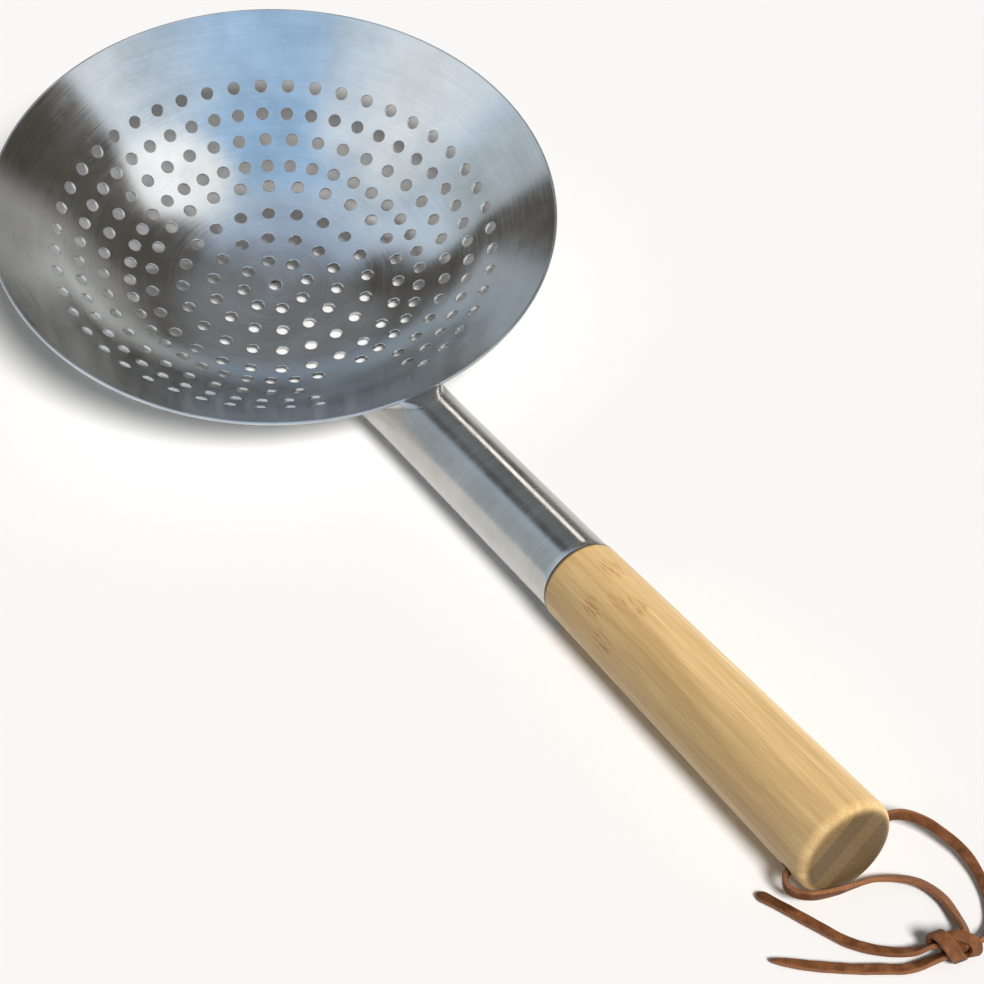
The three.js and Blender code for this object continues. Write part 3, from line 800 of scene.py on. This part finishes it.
# %% Weld surface
weld_rows = 32
tube_pull = 3.0 * MM
bowl_pull = 2.6 * MM
bump_degrees = 36
bump_height = 1.2 * MM
corner_radius = tube_radius(weld_corner) + 0.1 * MM + 1.9 * MM * low_sides(weld_turn)
corner = socket_points(weld_corner + 0.5 * MM, corner_radius, weld_turn)
wall_up = bowl_directions(inner_reach, rim_turn)[1]
side_controls = tube_end + (corner - tube_end) * 2 / 3, bowl_end + (corner - bowl_end) * 2 / 3
top_controls = tube_end - socket_along * tube_pull, bowl_end + wall_up * bowl_pull
near_tube, near_bowl = [
    side + (top - side) * over_rim[:, None] for side, top in zip(side_controls, top_controls)
]
share = np.linspace(0, 1, weld_rows)[:, None, None]
weld_points = (
    tube_end * (1 - share) ** 3
    + near_tube * 3 * share * (1 - share) ** 2
    + near_bowl * 3 * share**2 * (1 - share)
    + bowl_end * share**3
)
own_x, own_y, own_z = part_to_bowl(weld_points)
edge_ring = rim_start + bowl_sheet / 2 * sin(wall_slope)
edge_level = (rim_start - rim_radius) * tan(wall_slope) - bowl_sheet / 2 * cos(wall_slope)
from_ring = np.hypot(own_x, own_y) - edge_ring
from_level = own_z - edge_level
from_edge = np.hypot(from_ring, from_level)
edge_size = bowl_sheet / 2 + 0.06 * MM
push = (((from_edge**6 + edge_size**6) ** (1 / 6) - from_edge) / from_edge * over_rim)[..., None]
own_turn = np.arctan2(own_y, own_x)
ring_push = np.stack([from_ring * np.cos(own_turn), from_ring * np.sin(own_turn), from_level], -1)
weld_points = weld_points + push * bowl_to_part(ring_push)
bump = np.exp(-((weld_degrees - bump_degrees) / 9) ** 2) * np.exp(-((share[..., 0] - 0.75) / 0.3) ** 2)
away = np.cos(weld_turn)[:, None] * np.array([0, 1.0, 0]) + np.sin(weld_turn)[:, None] * socket_over
weld_points = weld_points + (bump_height * bump)[..., None] * away
print("weld grid:", weld_points.shape[:2])

# %% Weld mesh
root = socket_points(weld_corner, tube_radius(weld_corner) - 0.6 * MM - top_sink * weld_top, weld_turn)
weld_loops = np.vstack([weld_points, root[None]]).transpose(1, 0, 2)
weld_loop = weld_rows + 1
weld_tips = weld_loops[[0, -1]].mean(axis=1)
weld_all = np.vstack([weld_loops.reshape(-1, 3), weld_tips])
weld_faces = closed_tube(weld_columns, weld_loop)
weld = new_piece("ground_weld", weld_all, weld_faces, "skimmer", "weld", "weld_bead")
weld.data.set_sharp_from_angle(angle=radians(60))
weld_along = (weld_all - socket_start) @ socket_along
weld_round = np.append(np.repeat(weld_turn, weld_loop), weld_turn[[0, -1]])
give_socket_facts(weld, weld_along, weld_round, 0)

# %% [markdown]
# ## The bamboo handle
# The handle is glued up from bamboo strips and turned to a slow taper with a rounded end. The grid follows
# that turned profile from a short tenon, round the shoulder, along the taper and over the end. The cross
# hole for the lace is drilled with one boolean, whose cutter widens at both ends, so that the hole's mouths
# are rounded.

# %% Handle profile
handle_length = 150.9 * MM
shoulder_radius = 15.4 * MM
end_radius = 17.7 * MM
end_round = 4.2 * MM
shoulder_round = 0.5 * MM
joint_gap = 0.45 * MM
tenon_radius = 12 * MM
tenon_length = 6 * MM
smallest_ring = 0.2 * MM
handle_end = socket_length + handle_length
front = socket_length + joint_gap


def arc(middle_along, middle_radius, size, angle_from, angle_to, count):
    """A round corner of the profile as places along the axis and radii."""
    angle = np.radians(np.linspace(angle_from, angle_to, count))
    return np.stack([middle_along + size * np.cos(angle), middle_radius + size * np.sin(angle)], axis=-1)


taper_share = np.linspace(0, 1, 60)[1:-1, None]
shoulder = arc(front + shoulder_round, shoulder_radius - shoulder_round, shoulder_round, 180, 90, 7)
butt_edge = arc(handle_end - end_round, end_radius - end_round, end_round, 90, 0, 17)
taper = shoulder[-1] + (butt_edge[0] - shoulder[-1]) * taper_share
tenon = np.array([[front - tenon_length, tenon_radius], [front, tenon_radius]])
butt_radius = np.linspace(end_radius - end_round, smallest_ring, 12)[1:]
butt_face = np.stack([np.full(len(butt_radius), handle_end), butt_radius], axis=-1)
profile = np.vstack([tenon, shoulder, taper, butt_edge, butt_face])
handle_columns = 160
handle_points = socket_points(profile[:, :1], profile[:, 1:], full_turn(handle_columns))
handle_middles = socket_points(np.array([profile[0, 0], handle_end]), np.zeros(2), np.zeros(2))
handle_all = np.vstack([handle_points.reshape(-1, 3), handle_middles])
handle_faces = closed_tube(len(profile), handle_columns)
plies = [f"bamboo_ply_{number}" for number in range(1, 6)]
handle = new_piece("bamboo_handle", handle_all, handle_faces, "skimmer", "bamboo", *plies)

# %% Lace hole
hole_bore = 2.9 * MM
bore_columns = 48
bore_across = np.array([-24, -17.5, -16.2, -15.4, -14.8, 14.8, 15.4, 16.2, 17.5, 24]) * MM
bore_radius = hole_bore + np.array([1.6, 1.0, 0.45, 0.12, 0, 0, 0.12, 0.45, 1.0, 1.6]) * MM
bore_turn = full_turn(bore_columns)
bore_points = np.stack(np.broadcast_arrays(
    lace_hole[0] + bore_radius[:, None] * np.cos(bore_turn),
    bore_across[:, None],
    lace_hole[2] + bore_radius[:, None] * np.sin(bore_turn),
), -1)
bore_middles = np.array([[lace_hole[0], bore_across[k], lace_hole[2]] for k in (0, -1)])
bore_faces = [faces[:, ::-1] for faces in closed_tube(len(bore_across), bore_columns)]
bore = new_mesh("lace_bore", np.vstack([bore_points.reshape(-1, 3), bore_middles]), bore_faces)
drill = handle.modifiers.new("drill", "BOOLEAN")
drill.operation = "DIFFERENCE"
drill.object = bore
bpy.context.view_layer.update()
drilled = bpy.data.meshes.new_from_object(handle.evaluated_get(bpy.context.evaluated_depsgraph_get()))
handle.modifiers.clear()
handle.data = drilled
bpy.data.objects.remove(bore)
drilled.set_sharp_from_angle(angle=radians(40))
print("handle after drilling:", len(drilled.polygons), "faces")

# %% [markdown]
# ## Finishes
# Every finish is made of nodes that read the piece's own coordinates or the vectors stored on it. Helpers
# keep the node code short: one adds a node and fills in its inputs, one starts a material with its shader,
# and the others each add a common kind of node, such as a product, a noise or a ramp of colours.

# %% Helpers for nodes
def fill(tree, node, inputs):
    """Puts values or links on a node's inputs, which are named by label, or as i0, i1 and so on by
    number."""
    for key, value in inputs.items():
        socket = node.inputs[int(key[1:])] if key[0] == "i" and key[1:].isdigit() else node.inputs[key]
        if isinstance(value, bpy.types.NodeSocket):
            tree.links.new(value, socket)
        else:
            socket.default_value = value


def add_node(tree, kind, settings=None, **inputs):
    """A shader node of a kind, with settings on the node and values or links on its inputs."""
    node = tree.nodes.new("ShaderNode" + kind)
    for key, value in (settings or {}).items():
        setattr(node, key, value)
    fill(tree, node, inputs)
    return node


def start_material(name):
    """A new node material, its tree and its shader."""
    material = bpy.data.materials.new(name)
    material.use_nodes = True
    print("material:", name)
    return material, material.node_tree, material.node_tree.nodes["Principled BSDF"]


# %% Common nodes
def ramp(tree, value, *stops):
    """A colour ramp through stops of a place and a colour."""
    node = add_node(tree, "ValToRGB", Fac=value)
    elements = node.color_ramp.elements
    while len(elements) < len(stops):
        elements.new(0.5)
    for element, (place, colour) in zip(elements, stops):
        element.position = place
        element.color = (*colour, 1)
    return node.outputs["Color"]


def blend_colours(tree, share, first, second, mode="MIX"):
    """Mixes two colours, which are links or values, by a share."""
    settings = {"data_type": "RGBA", "blend_type": mode}
    return add_node(tree, "Mix", settings, i0=share, i6=first, i7=second).outputs[2]


def tinted(tree, colour, tint):
    """A colour multiplied by a tint."""
    return blend_colours(tree, 1.0, colour, tint, "MULTIPLY")


def arithmetic(tree, operation, first, second=0.0):
    """One sum on numbers or links."""
    return add_node(tree, "Math", {"operation": operation}, i0=first, i1=second).outputs[0]


def times(tree, first, second):
    """The product of two numbers or links."""
    return arithmetic(tree, "MULTIPLY", first, second)


def vector_sum(tree, operation, first, second=(0, 0, 0), result="Vector"):
    """One sum on vectors or links."""
    settings = {"operation": operation}
    return add_node(tree, "VectorMath", settings, i0=first, i1=second).outputs[result]


def remap(tree, value, low, high, to_low=0.0, to_high=1.0, smooth=False):
    """Carries the range from low to high over to another, straight or by a smooth step."""
    settings = {"interpolation_type": "SMOOTHSTEP" if smooth else "LINEAR"}
    node = add_node(tree, "MapRange", settings, Value=value)
    fill(tree, node, {"From Min": low, "From Max": high, "To Min": to_low, "To Max": to_high})
    return node.outputs[0]


def stored(tree, name, result="Vector"):
    """A vector or number stored on the mesh."""
    return add_node(tree, "Attribute", {"attribute_name": name}).outputs[result]


def stretched_noise(tree, vector, scale, detail=2.0, roughness=0.5):
    """Noise on a vector whose three parts are scaled apart, which draws it out into streaks."""
    mapping = add_node(tree, "Mapping", Vector=vector, Scale=scale)
    noise = add_node(tree, "TexNoise", Vector=mapping.outputs[0], Scale=1.0, Detail=detail,
                     Roughness=roughness)
    return noise.outputs["Fac"]


# %% [markdown]
# ## Brushed steel
# The bowl was spun and sanded on a lathe, so its scratches run round the axis, and a reflection smears
# across them. The shader does the smearing: it is told which way by a vector stored on the mesh. Fine
# streaks, drawn out along the scratches, change the roughness and lift the surface a little. The tube was
# sanded the same way.

# %% Steel
def steel_finish(name, colour, roughness, smear, streak_scale, welded=False):
    """Steel with streaks along the scratches, from the stored turn and place across the scratches. Beside a
    weld a dark olive tint, strongest low on the tube's sides, is partly welding tint and partly painted shade
    under the bowl's rim."""
    material, tree, shader = start_material(name)
    spun = stored(tree, "spun")
    place = add_node(tree, "TexCoord").outputs["Object"]
    fine = stretched_noise(tree, spun, (streak_scale, streak_scale, 2600), 3.0)
    broad = stretched_noise(tree, spun, (streak_scale * 0.4, streak_scale * 0.4, 260), 2.0)
    cloudy = stretched_noise(tree, place, (34, 34, 34), 5.0, 0.6)
    streaks = arithmetic(tree, "ADD", times(tree, fine, 0.6), times(tree, broad, 0.4))
    tint = ramp(tree, streaks, (0.25, [0.84 * part for part in colour]), (0.75, colour))
    haze = ramp(tree, cloudy, (0.3, (0.78, 0.78, 0.77)), (0.7, (1.07, 1.07, 1.07)))
    tint = tinted(tree, tint, haze)
    if welded:
        # painted shade: the dark olive beside the weld stands partly for shade under the bowl's rim and
        # partly for welding tint
        tint = blend_colours(tree, stored(tree, "heat", "Fac"), tint, (0.17, 0.155, 0.115, 1))
    uneven = arithmetic(tree, "ADD", streaks, cloudy)
    rough = remap(tree, uneven, 0.6, 1.4, roughness - 0.08, roughness + 0.10)
    across = add_node(tree, "SeparateXYZ", Vector=spun).outputs["Z"]
    cut_edge = remap(tree, across, rim_start - 0.2 * MM, rim_start + 0.1 * MM, to_high=0.3)
    bump = add_node(tree, "Bump", Height=streaks, Strength=0.08, Distance=0.0002)
    fill(tree, shader, {
        "Base Color": tint,
        "Roughness": arithmetic(tree, "ADD", rough, cut_edge),
        "Normal": bump.outputs[0],
        "Tangent": stored(tree, "grain"),
        "Metallic": 1.0,
        "Anisotropic": smear,
    })
    return material


bowl.data.materials.append(steel_finish("spun_steel", (0.71, 0.705, 0.69), 0.165, 0.55, 45))
tube.data.materials.append(steel_finish("sanded_steel", (0.575, 0.56, 0.535), 0.23, 0.7, 120, welded=True))
weld.data.materials.append(steel_finish("ground_weld_steel", (0.60, 0.59, 0.57), 0.28, 0.5, 60, welded=True))

# %% [markdown]
# ## Bamboo
# Bamboo has straight fibres, seen as fine streaks along the handle, and each glued ply has its own tone; the
# ply tones also darken in steps towards one side of the handle, as painted shade. Where a cane had a node,
# the ply shows a patch of short brown flecks. The end face shows cut fibres as dots, on an end grain made
# darker partly by painted shade. Next to the socket's mouth the bamboo is painted almost black, as painted
# shade of the gap. A Mapping node turns the coordinates into the handle's own: x along it from the socket's
# mouth, and z across the plies.

# %% Plies
ply_pitch = 2 * end_radius / 5
ply_roll = radians(39)
socket_mouth = socket_start + socket_length * socket_along
print("ply pitch:", round(ply_pitch / MM, 2), "mm")


def handle_coordinates(tree):
    """The handle's own coordinates, the number of the ply, which is z over the pitch rounded down, and a
    step that is 1 on the glue lines between plies."""
    own = add_node(tree, "Mapping", {"vector_type": "TEXTURE"},
                   Vector=add_node(tree, "TexCoord").outputs["Object"],
                   Location=tuple(socket_mouth), Rotation=(ply_roll, socket_rise, 0)).outputs[0]
    across = add_node(tree, "SeparateXYZ", Vector=own).outputs["Z"]
    ply = arithmetic(tree, "ADD", arithmetic(tree, "DIVIDE", across, ply_pitch), 0.5)
    in_ply = arithmetic(tree, "ABSOLUTE", arithmetic(tree, "SUBTRACT", arithmetic(tree, "FRACT", ply), 0.5))
    return own, arithmetic(tree, "FLOOR", ply), remap(tree, in_ply, 0.478, 0.495)


# %% Bamboo sides
node_size = np.array([7.5, 4.2, 6.0]) * MM
node_spots = np.array([
    (15.9, 12.2, 9.8), (24.2, -0.3, 15.8), (30.4, 6.5, 14.5), (36.0, 9.5, 12.8), (35.5, -6.8, 14.4),
]) * MM
print("bamboo nodes:", len(node_spots))


def bamboo_side(tree, own, shifted, fibres, ply_number, glue):
    """Fibres, plies with glue lines and a painted shade that darkens them towards one side, node flecks, and
    the painted shade of the gap at the socket, each a noise or a step on the handle's own axes."""
    bands = stretched_noise(tree, shifted, (9, 330, 330), 2.0)
    fibre_tint = ramp(
        tree, fibres, (0.3, (0.57, 0.405, 0.205)), (0.5, (0.655, 0.475, 0.25)), (0.72, (0.75, 0.575, 0.335))
    )
    band_tint = ramp(tree, bands, (0.3, (0.88, 0.85, 0.80)), (0.7, (1.04, 1.04, 1.03)))
    # painted shade: each ply keeps a tone, and the tones darken in steps towards one side of the handle,
    # standing in for its shaded side
    ply_tone_and_shade = ramp(
        tree, remap(tree, ply_number, -2, 2), (0.0, (1.08, 1.09, 1.10)), (0.25, (1.05, 1.05, 1.05)),
        (0.5, (0.97, 0.96, 0.94)), (0.75, (0.90, 0.88, 0.84)), (1.0, (0.80, 0.77, 0.71)),
    )
    colour = tinted(tree, tinted(tree, fibre_tint, band_tint), ply_tone_and_shade)
    colour = blend_colours(tree, times(tree, glue, 0.45), colour, (0.42, 0.26, 0.11, 1))
    near_node = 0.0
    for spot in node_spots:
        scaled = vector_sum(tree, "DIVIDE", vector_sum(tree, "SUBTRACT", own, spot), node_size)
        away = vector_sum(tree, "LENGTH", scaled, result="Value")
        near_node = arithmetic(tree, "MAXIMUM", near_node, remap(tree, away, 1.0, 0.35, smooth=True))
    flecks = remap(tree, stretched_noise(tree, shifted, (150, 1500, 1500), 2.0, 0.6), 0.50, 0.60)
    veins = remap(tree, stretched_noise(tree, shifted, (11, 1700, 1700), 2.0, 0.5), 0.60, 0.70)
    colour = blend_colours(tree, times(tree, veins, 0.4), colour, (0.36, 0.21, 0.08, 1))
    tone = stretched_noise(tree, shifted, (14, 120, 120), 2.0)
    colour = tinted(tree, colour, ramp(tree, tone, (0.3, (0.86, 0.83, 0.78)), (0.7, (1.06, 1.06, 1.05))))
    fleck_share = times(tree, times(tree, flecks, near_node), 0.8)
    colour = blend_colours(tree, fleck_share, colour, (0.33, 0.17, 0.06, 1))
    along = add_node(tree, "SeparateXYZ", Vector=own).outputs["X"]
    # painted shade: the first two millimetres of bamboo at the socket's mouth go almost black, for the shade
    # in the gap between tube and handle
    gap_shade = remap(tree, along, 2.0 * MM, 1.3 * MM)
    return blend_colours(tree, times(tree, gap_shade, 0.9), colour, (0.06, 0.04, 0.02, 1))


# %% Bamboo end
def bamboo_end(tree, shifted, ply_tone, glue):
    """The end grain, dark partly by its own colour and partly as painted shade of the end face: a fine noise
    for the cut fibres, a tone for each ply, and the glue lines.
    """
    dots = stretched_noise(tree, shifted, (60, 1300, 1300), 3.0, 0.65)
    # painted shade: the end grain is darker than the cut bamboo's own colour, standing in for the end face in
    # shade
    end_grain_and_shade = ramp(
        tree, dots, (0.3, (0.085, 0.050, 0.020)), (0.46, (0.128, 0.081, 0.034)), (0.75, (0.17, 0.11, 0.048))
    )
    end_ply = ramp(tree, ply_tone, (0.0, (0.72, 0.70, 0.66)), (1.0, (1.30, 1.28, 1.22)))
    return blend_colours(
        tree, times(tree, glue, 0.8), tinted(tree, end_grain_and_shade, end_ply), (0.07, 0.045, 0.02, 1)
    )


# %% Bamboo finish
def bamboo_finish():
    """The sides' colour, and the end's where the surface faces along the handle, by a smooth step."""
    material, tree, shader = start_material("laminated_bamboo")
    own, ply_number, glue = handle_coordinates(tree)
    ply_shift = add_node(tree, "TexWhiteNoise", {"noise_dimensions": "1D"}, W=ply_number)
    shifted = vector_sum(tree, "ADD", own, ply_shift.outputs["Color"])
    fibres = stretched_noise(tree, shifted, (18, 3200, 3200), 4.0, 0.62)
    side = bamboo_side(tree, own, shifted, fibres, ply_number, glue)
    end = bamboo_end(tree, shifted, ply_shift.outputs["Value"], glue)
    normal = add_node(tree, "TexCoord").outputs["Normal"]
    facing = add_node(tree, "SeparateXYZ", Vector=normal).outputs["X"]
    end_face = remap(tree, facing, 0.64, 1.0, smooth=True)
    bump = add_node(tree, "Bump", Height=fibres, Strength=0.12, Distance=0.0003)
    fill(tree, shader, {
        "Base Color": blend_colours(tree, end_face, side, end),
        "Roughness": ramp(tree, fibres, (0.3, (0.52, 0.52, 0.52)), (0.7, (0.40, 0.40, 0.40))),
        "Normal": bump.outputs[0],
        "Specular IOR Level": 0.3,
        "Coat Weight": 0.06,
        "Coat Roughness": 0.3,
    })
    return material


drilled.materials.clear()
drilled.materials.append(bamboo_finish())

# %% [markdown]
# ## Leather
# The lace is vegetable-tanned leather: a smooth russet face, paler cut edges and a rougher underside. The
# strips carry three numbers at every point: how near it is to a cut edge, how far it is on the underside,
# and its place along the lace.

# %% Leather finish
def leather_finish():
    """Russet face, pale cut edges and fibrous underside, mottled by noise."""
    material, tree, shader = start_material("russet_leather")
    place = add_node(tree, "TexCoord").outputs["Object"]
    facts = add_node(tree, "SeparateXYZ", Vector=stored(tree, "hide"))
    mottle = stretched_noise(tree, place, (260, 260, 260), 4.0, 0.6)
    pores = stretched_noise(tree, place, (2400, 2400, 2400), 3.0, 0.6)
    face = ramp(
        tree, mottle, (0.3, (0.062, 0.023, 0.009)), (0.5, (0.118, 0.045, 0.018)), (0.8, (0.205, 0.083, 0.035))
    )
    under = ramp(tree, pores, (0.3, (0.13, 0.052, 0.027)), (0.7, (0.28, 0.137, 0.075)))
    colour = blend_colours(tree, times(tree, facts.outputs["Y"], 0.6), face, under)
    edge_tint = ramp(tree, pores, (0.3, (0.15, 0.06, 0.026)), (0.7, (0.34, 0.155, 0.076)))
    height = arithmetic(tree, "ADD", times(tree, mottle, 0.7), times(tree, pores, 0.3))
    bump = add_node(tree, "Bump", Height=height, Strength=0.35, Distance=0.0004)
    fill(tree, shader, {
        "Base Color": blend_colours(tree, times(tree, facts.outputs["X"], 0.75), colour, edge_tint),
        "Normal": bump.outputs[0],
        "Roughness": 0.48,
        "Specular IOR Level": 0.2,
    })
    return material


leather = leather_finish()
lace_pieces = left_strand, right_strand, upper_tail, lower_tail, inner_lace, knot
for strip in lace_pieces:
    strip.data.materials.append(leather)

# %% [markdown]
# ## Floor and light
# Steel shows what is round it, so the light is arranged for the steel: a pale sky with soft clouds on the
# camera's side, and a darker side behind the tool, as a studio's black flag makes. Both are soft gradients
# of the world. One lamp lights everything, a flagged second one gives handle and lace their bright side, and
# a faint third one draws the line of light along the tube. The floor is plain and pale.

# %% Floor
floor_half = 6.0
floor_drop = 0.2 * MM
floor_corners = floor_half * np.array([(-1, -1, 0), (1, -1, 0), (1, 1, 0), (-1, 1, 0)])
floor = new_mesh("floor", floor_corners, [np.array([[0, 1, 2, 3]])])
floor.location.z = -floor_drop
floor_material, floor_tree, floor_shader = start_material("pale_floor")
floor_look = {"Base Color": (0.94, 0.94, 0.94, 1), "Roughness": 0.9, "Specular IOR Level": 0.0}
fill(floor_tree, floor_shader, floor_look)
floor.data.materials.append(floor_material)

# %% World
bpy.context.scene.view_settings.view_transform = "Standard"
world = bpy.data.worlds.new("studio")
bpy.context.scene.world = world
world.use_nodes = True
sky = world.node_tree
background = sky.nodes["Background"]
direction = add_node(sky, "TexCoord").outputs["Generated"]
print("world:", world.name)


def towards(azimuth, elevation):
    """The unit vector at an azimuth from +X and an elevation, in degrees."""
    a, e = radians(azimuth), radians(elevation)
    return (cos(e) * cos(a), cos(e) * sin(a), sin(e))


def patch_of_sky(vector, inner_cosine, outer_cosine):
    """A soft round patch about a direction: 1 inside, 0 outside, by the cosine of the angle to it."""
    lean = vector_sum(sky, "DOT_PRODUCT", direction, vector, "Value")
    return remap(sky, lean, outer_cosine, inner_cosine, smooth=True)


def dark_plane(azimuth, steepness):
    """The middle of the half of the sky that lies behind a plane, which leans back from an azimuth."""
    x, y, _ = towards(azimuth, 0)
    return tuple(unit(np.array([steepness * x, steepness * y, -1])))


# %% Sky
sky_colour = (0.71, 0.86, 1.03, 1)
blue_colour = (0.47, 0.74, 1.10, 1)
cloud_colour = (1.44, 1.49, 1.53, 1)
thin_cloud_colour = (1.02, 1.10, 1.18, 1)
dusk_colour = (0.52, 0.66, 0.88, 1)
haze_colour = (0.56, 0.64, 0.70, 1)
dark_colour = (0.105, 0.095, 0.082, 1)
wall_colour = (0.40, 0.40, 0.385, 1)
gap_colour = (0.235, 0.25, 0.265, 1)
even_colour = (0.14, 0.14, 0.14, 1)
cloud_noise = add_node(sky, "TexNoise", Vector=direction, Scale=2.6, Detail=3.0, Roughness=0.5)
cloud_edge = remap(sky, cloud_noise.outputs["Fac"], 0.36, 0.60, smooth=True)
cloud_share = arithmetic(sky, "ADD", times(sky, cloud_edge, 0.5), 0.5)
sky_patches = (
    (towards(-20, 62), 0.985, 0.79, blue_colour),
    (towards(-86, 50), 0.97, 0.86, thin_cloud_colour),
    (towards(55, 53), 0.98, 0.905, cloud_colour),
    (towards(-142, 18), 0.96, 0.86, haze_colour),
    (dark_plane(133, 2.0), 0.035, -0.015, dark_colour),
    (dark_plane(120, 1.65), 0.035, -0.015, dark_colour),
    (towards(103, 52), 0.982, 0.955, dark_colour),
    (towards(173, 50), 0.985, 0.958, dark_colour),
    (towards(143, 73), 0.985, 0.958, dusk_colour),
    (towards(110, 12), 0.98, 0.91, wall_colour),
    (towards(140, 52), 0.99, 0.955, gap_colour),
    (towards(150, 40), 0.985, 0.935, gap_colour),
)
colour = sky_colour
for vector, inner_cosine, outer_cosine, patch_colour in sky_patches:
    patch = patch_of_sky(vector, inner_cosine, outer_cosine)
    if patch_colour is thin_cloud_colour:
        patch = times(sky, patch, cloud_share)
    colour = blend_colours(sky, patch, colour, patch_colour)
ray = add_node(sky, "LightPath")
colour = blend_colours(sky, ray.outputs["Is Diffuse Ray"], colour, even_colour)
fill(sky, background, {"Color": colour, "Strength": 1.0})
print("sky patches:", len(sky_patches))

# %% Lamps
def far_lamp(name, azimuth, elevation, energy, softness, colour, pieces=()):
    """A sun lamp from a direction, for everything or for some pieces alone, as a flagged studio lamp
    does."""
    lamp_data = bpy.data.lights.new(name, "SUN")
    lamp_data.energy = energy
    lamp_data.angle = radians(softness)
    lamp_data.color = colour
    lamp = into_scene(name, lamp_data)
    back = np.array(towards(azimuth, elevation))
    right = unit(np.cross([0, 0, 1], back))
    lamp.matrix_world = Matrix(np.stack([right, np.cross(back, right), back], axis=1).tolist()).to_4x4()
    if pieces:
        lit = bpy.data.collections.new(name + "_lit")
        for piece in pieces:
            lit.objects.link(piece)
        lamp.light_linking.receiver_collection = lit
    print("lamp:", name)
    return lamp


key_lamp = far_lamp("key", -6, 43, 3.95, 16, (1.0, 0.985, 0.96))
side_lamp = far_lamp("side", 80, 48, 2.3, 8, (1.0, 0.98, 0.93), (handle, *lace_pieces))
far_lamp("strip", 135.5, 23, 0.09, 9, (1.0, 0.97, 0.92), (tube, weld))
for lamp in (key_lamp, side_lamp):
    lamp.visible_glossy = False
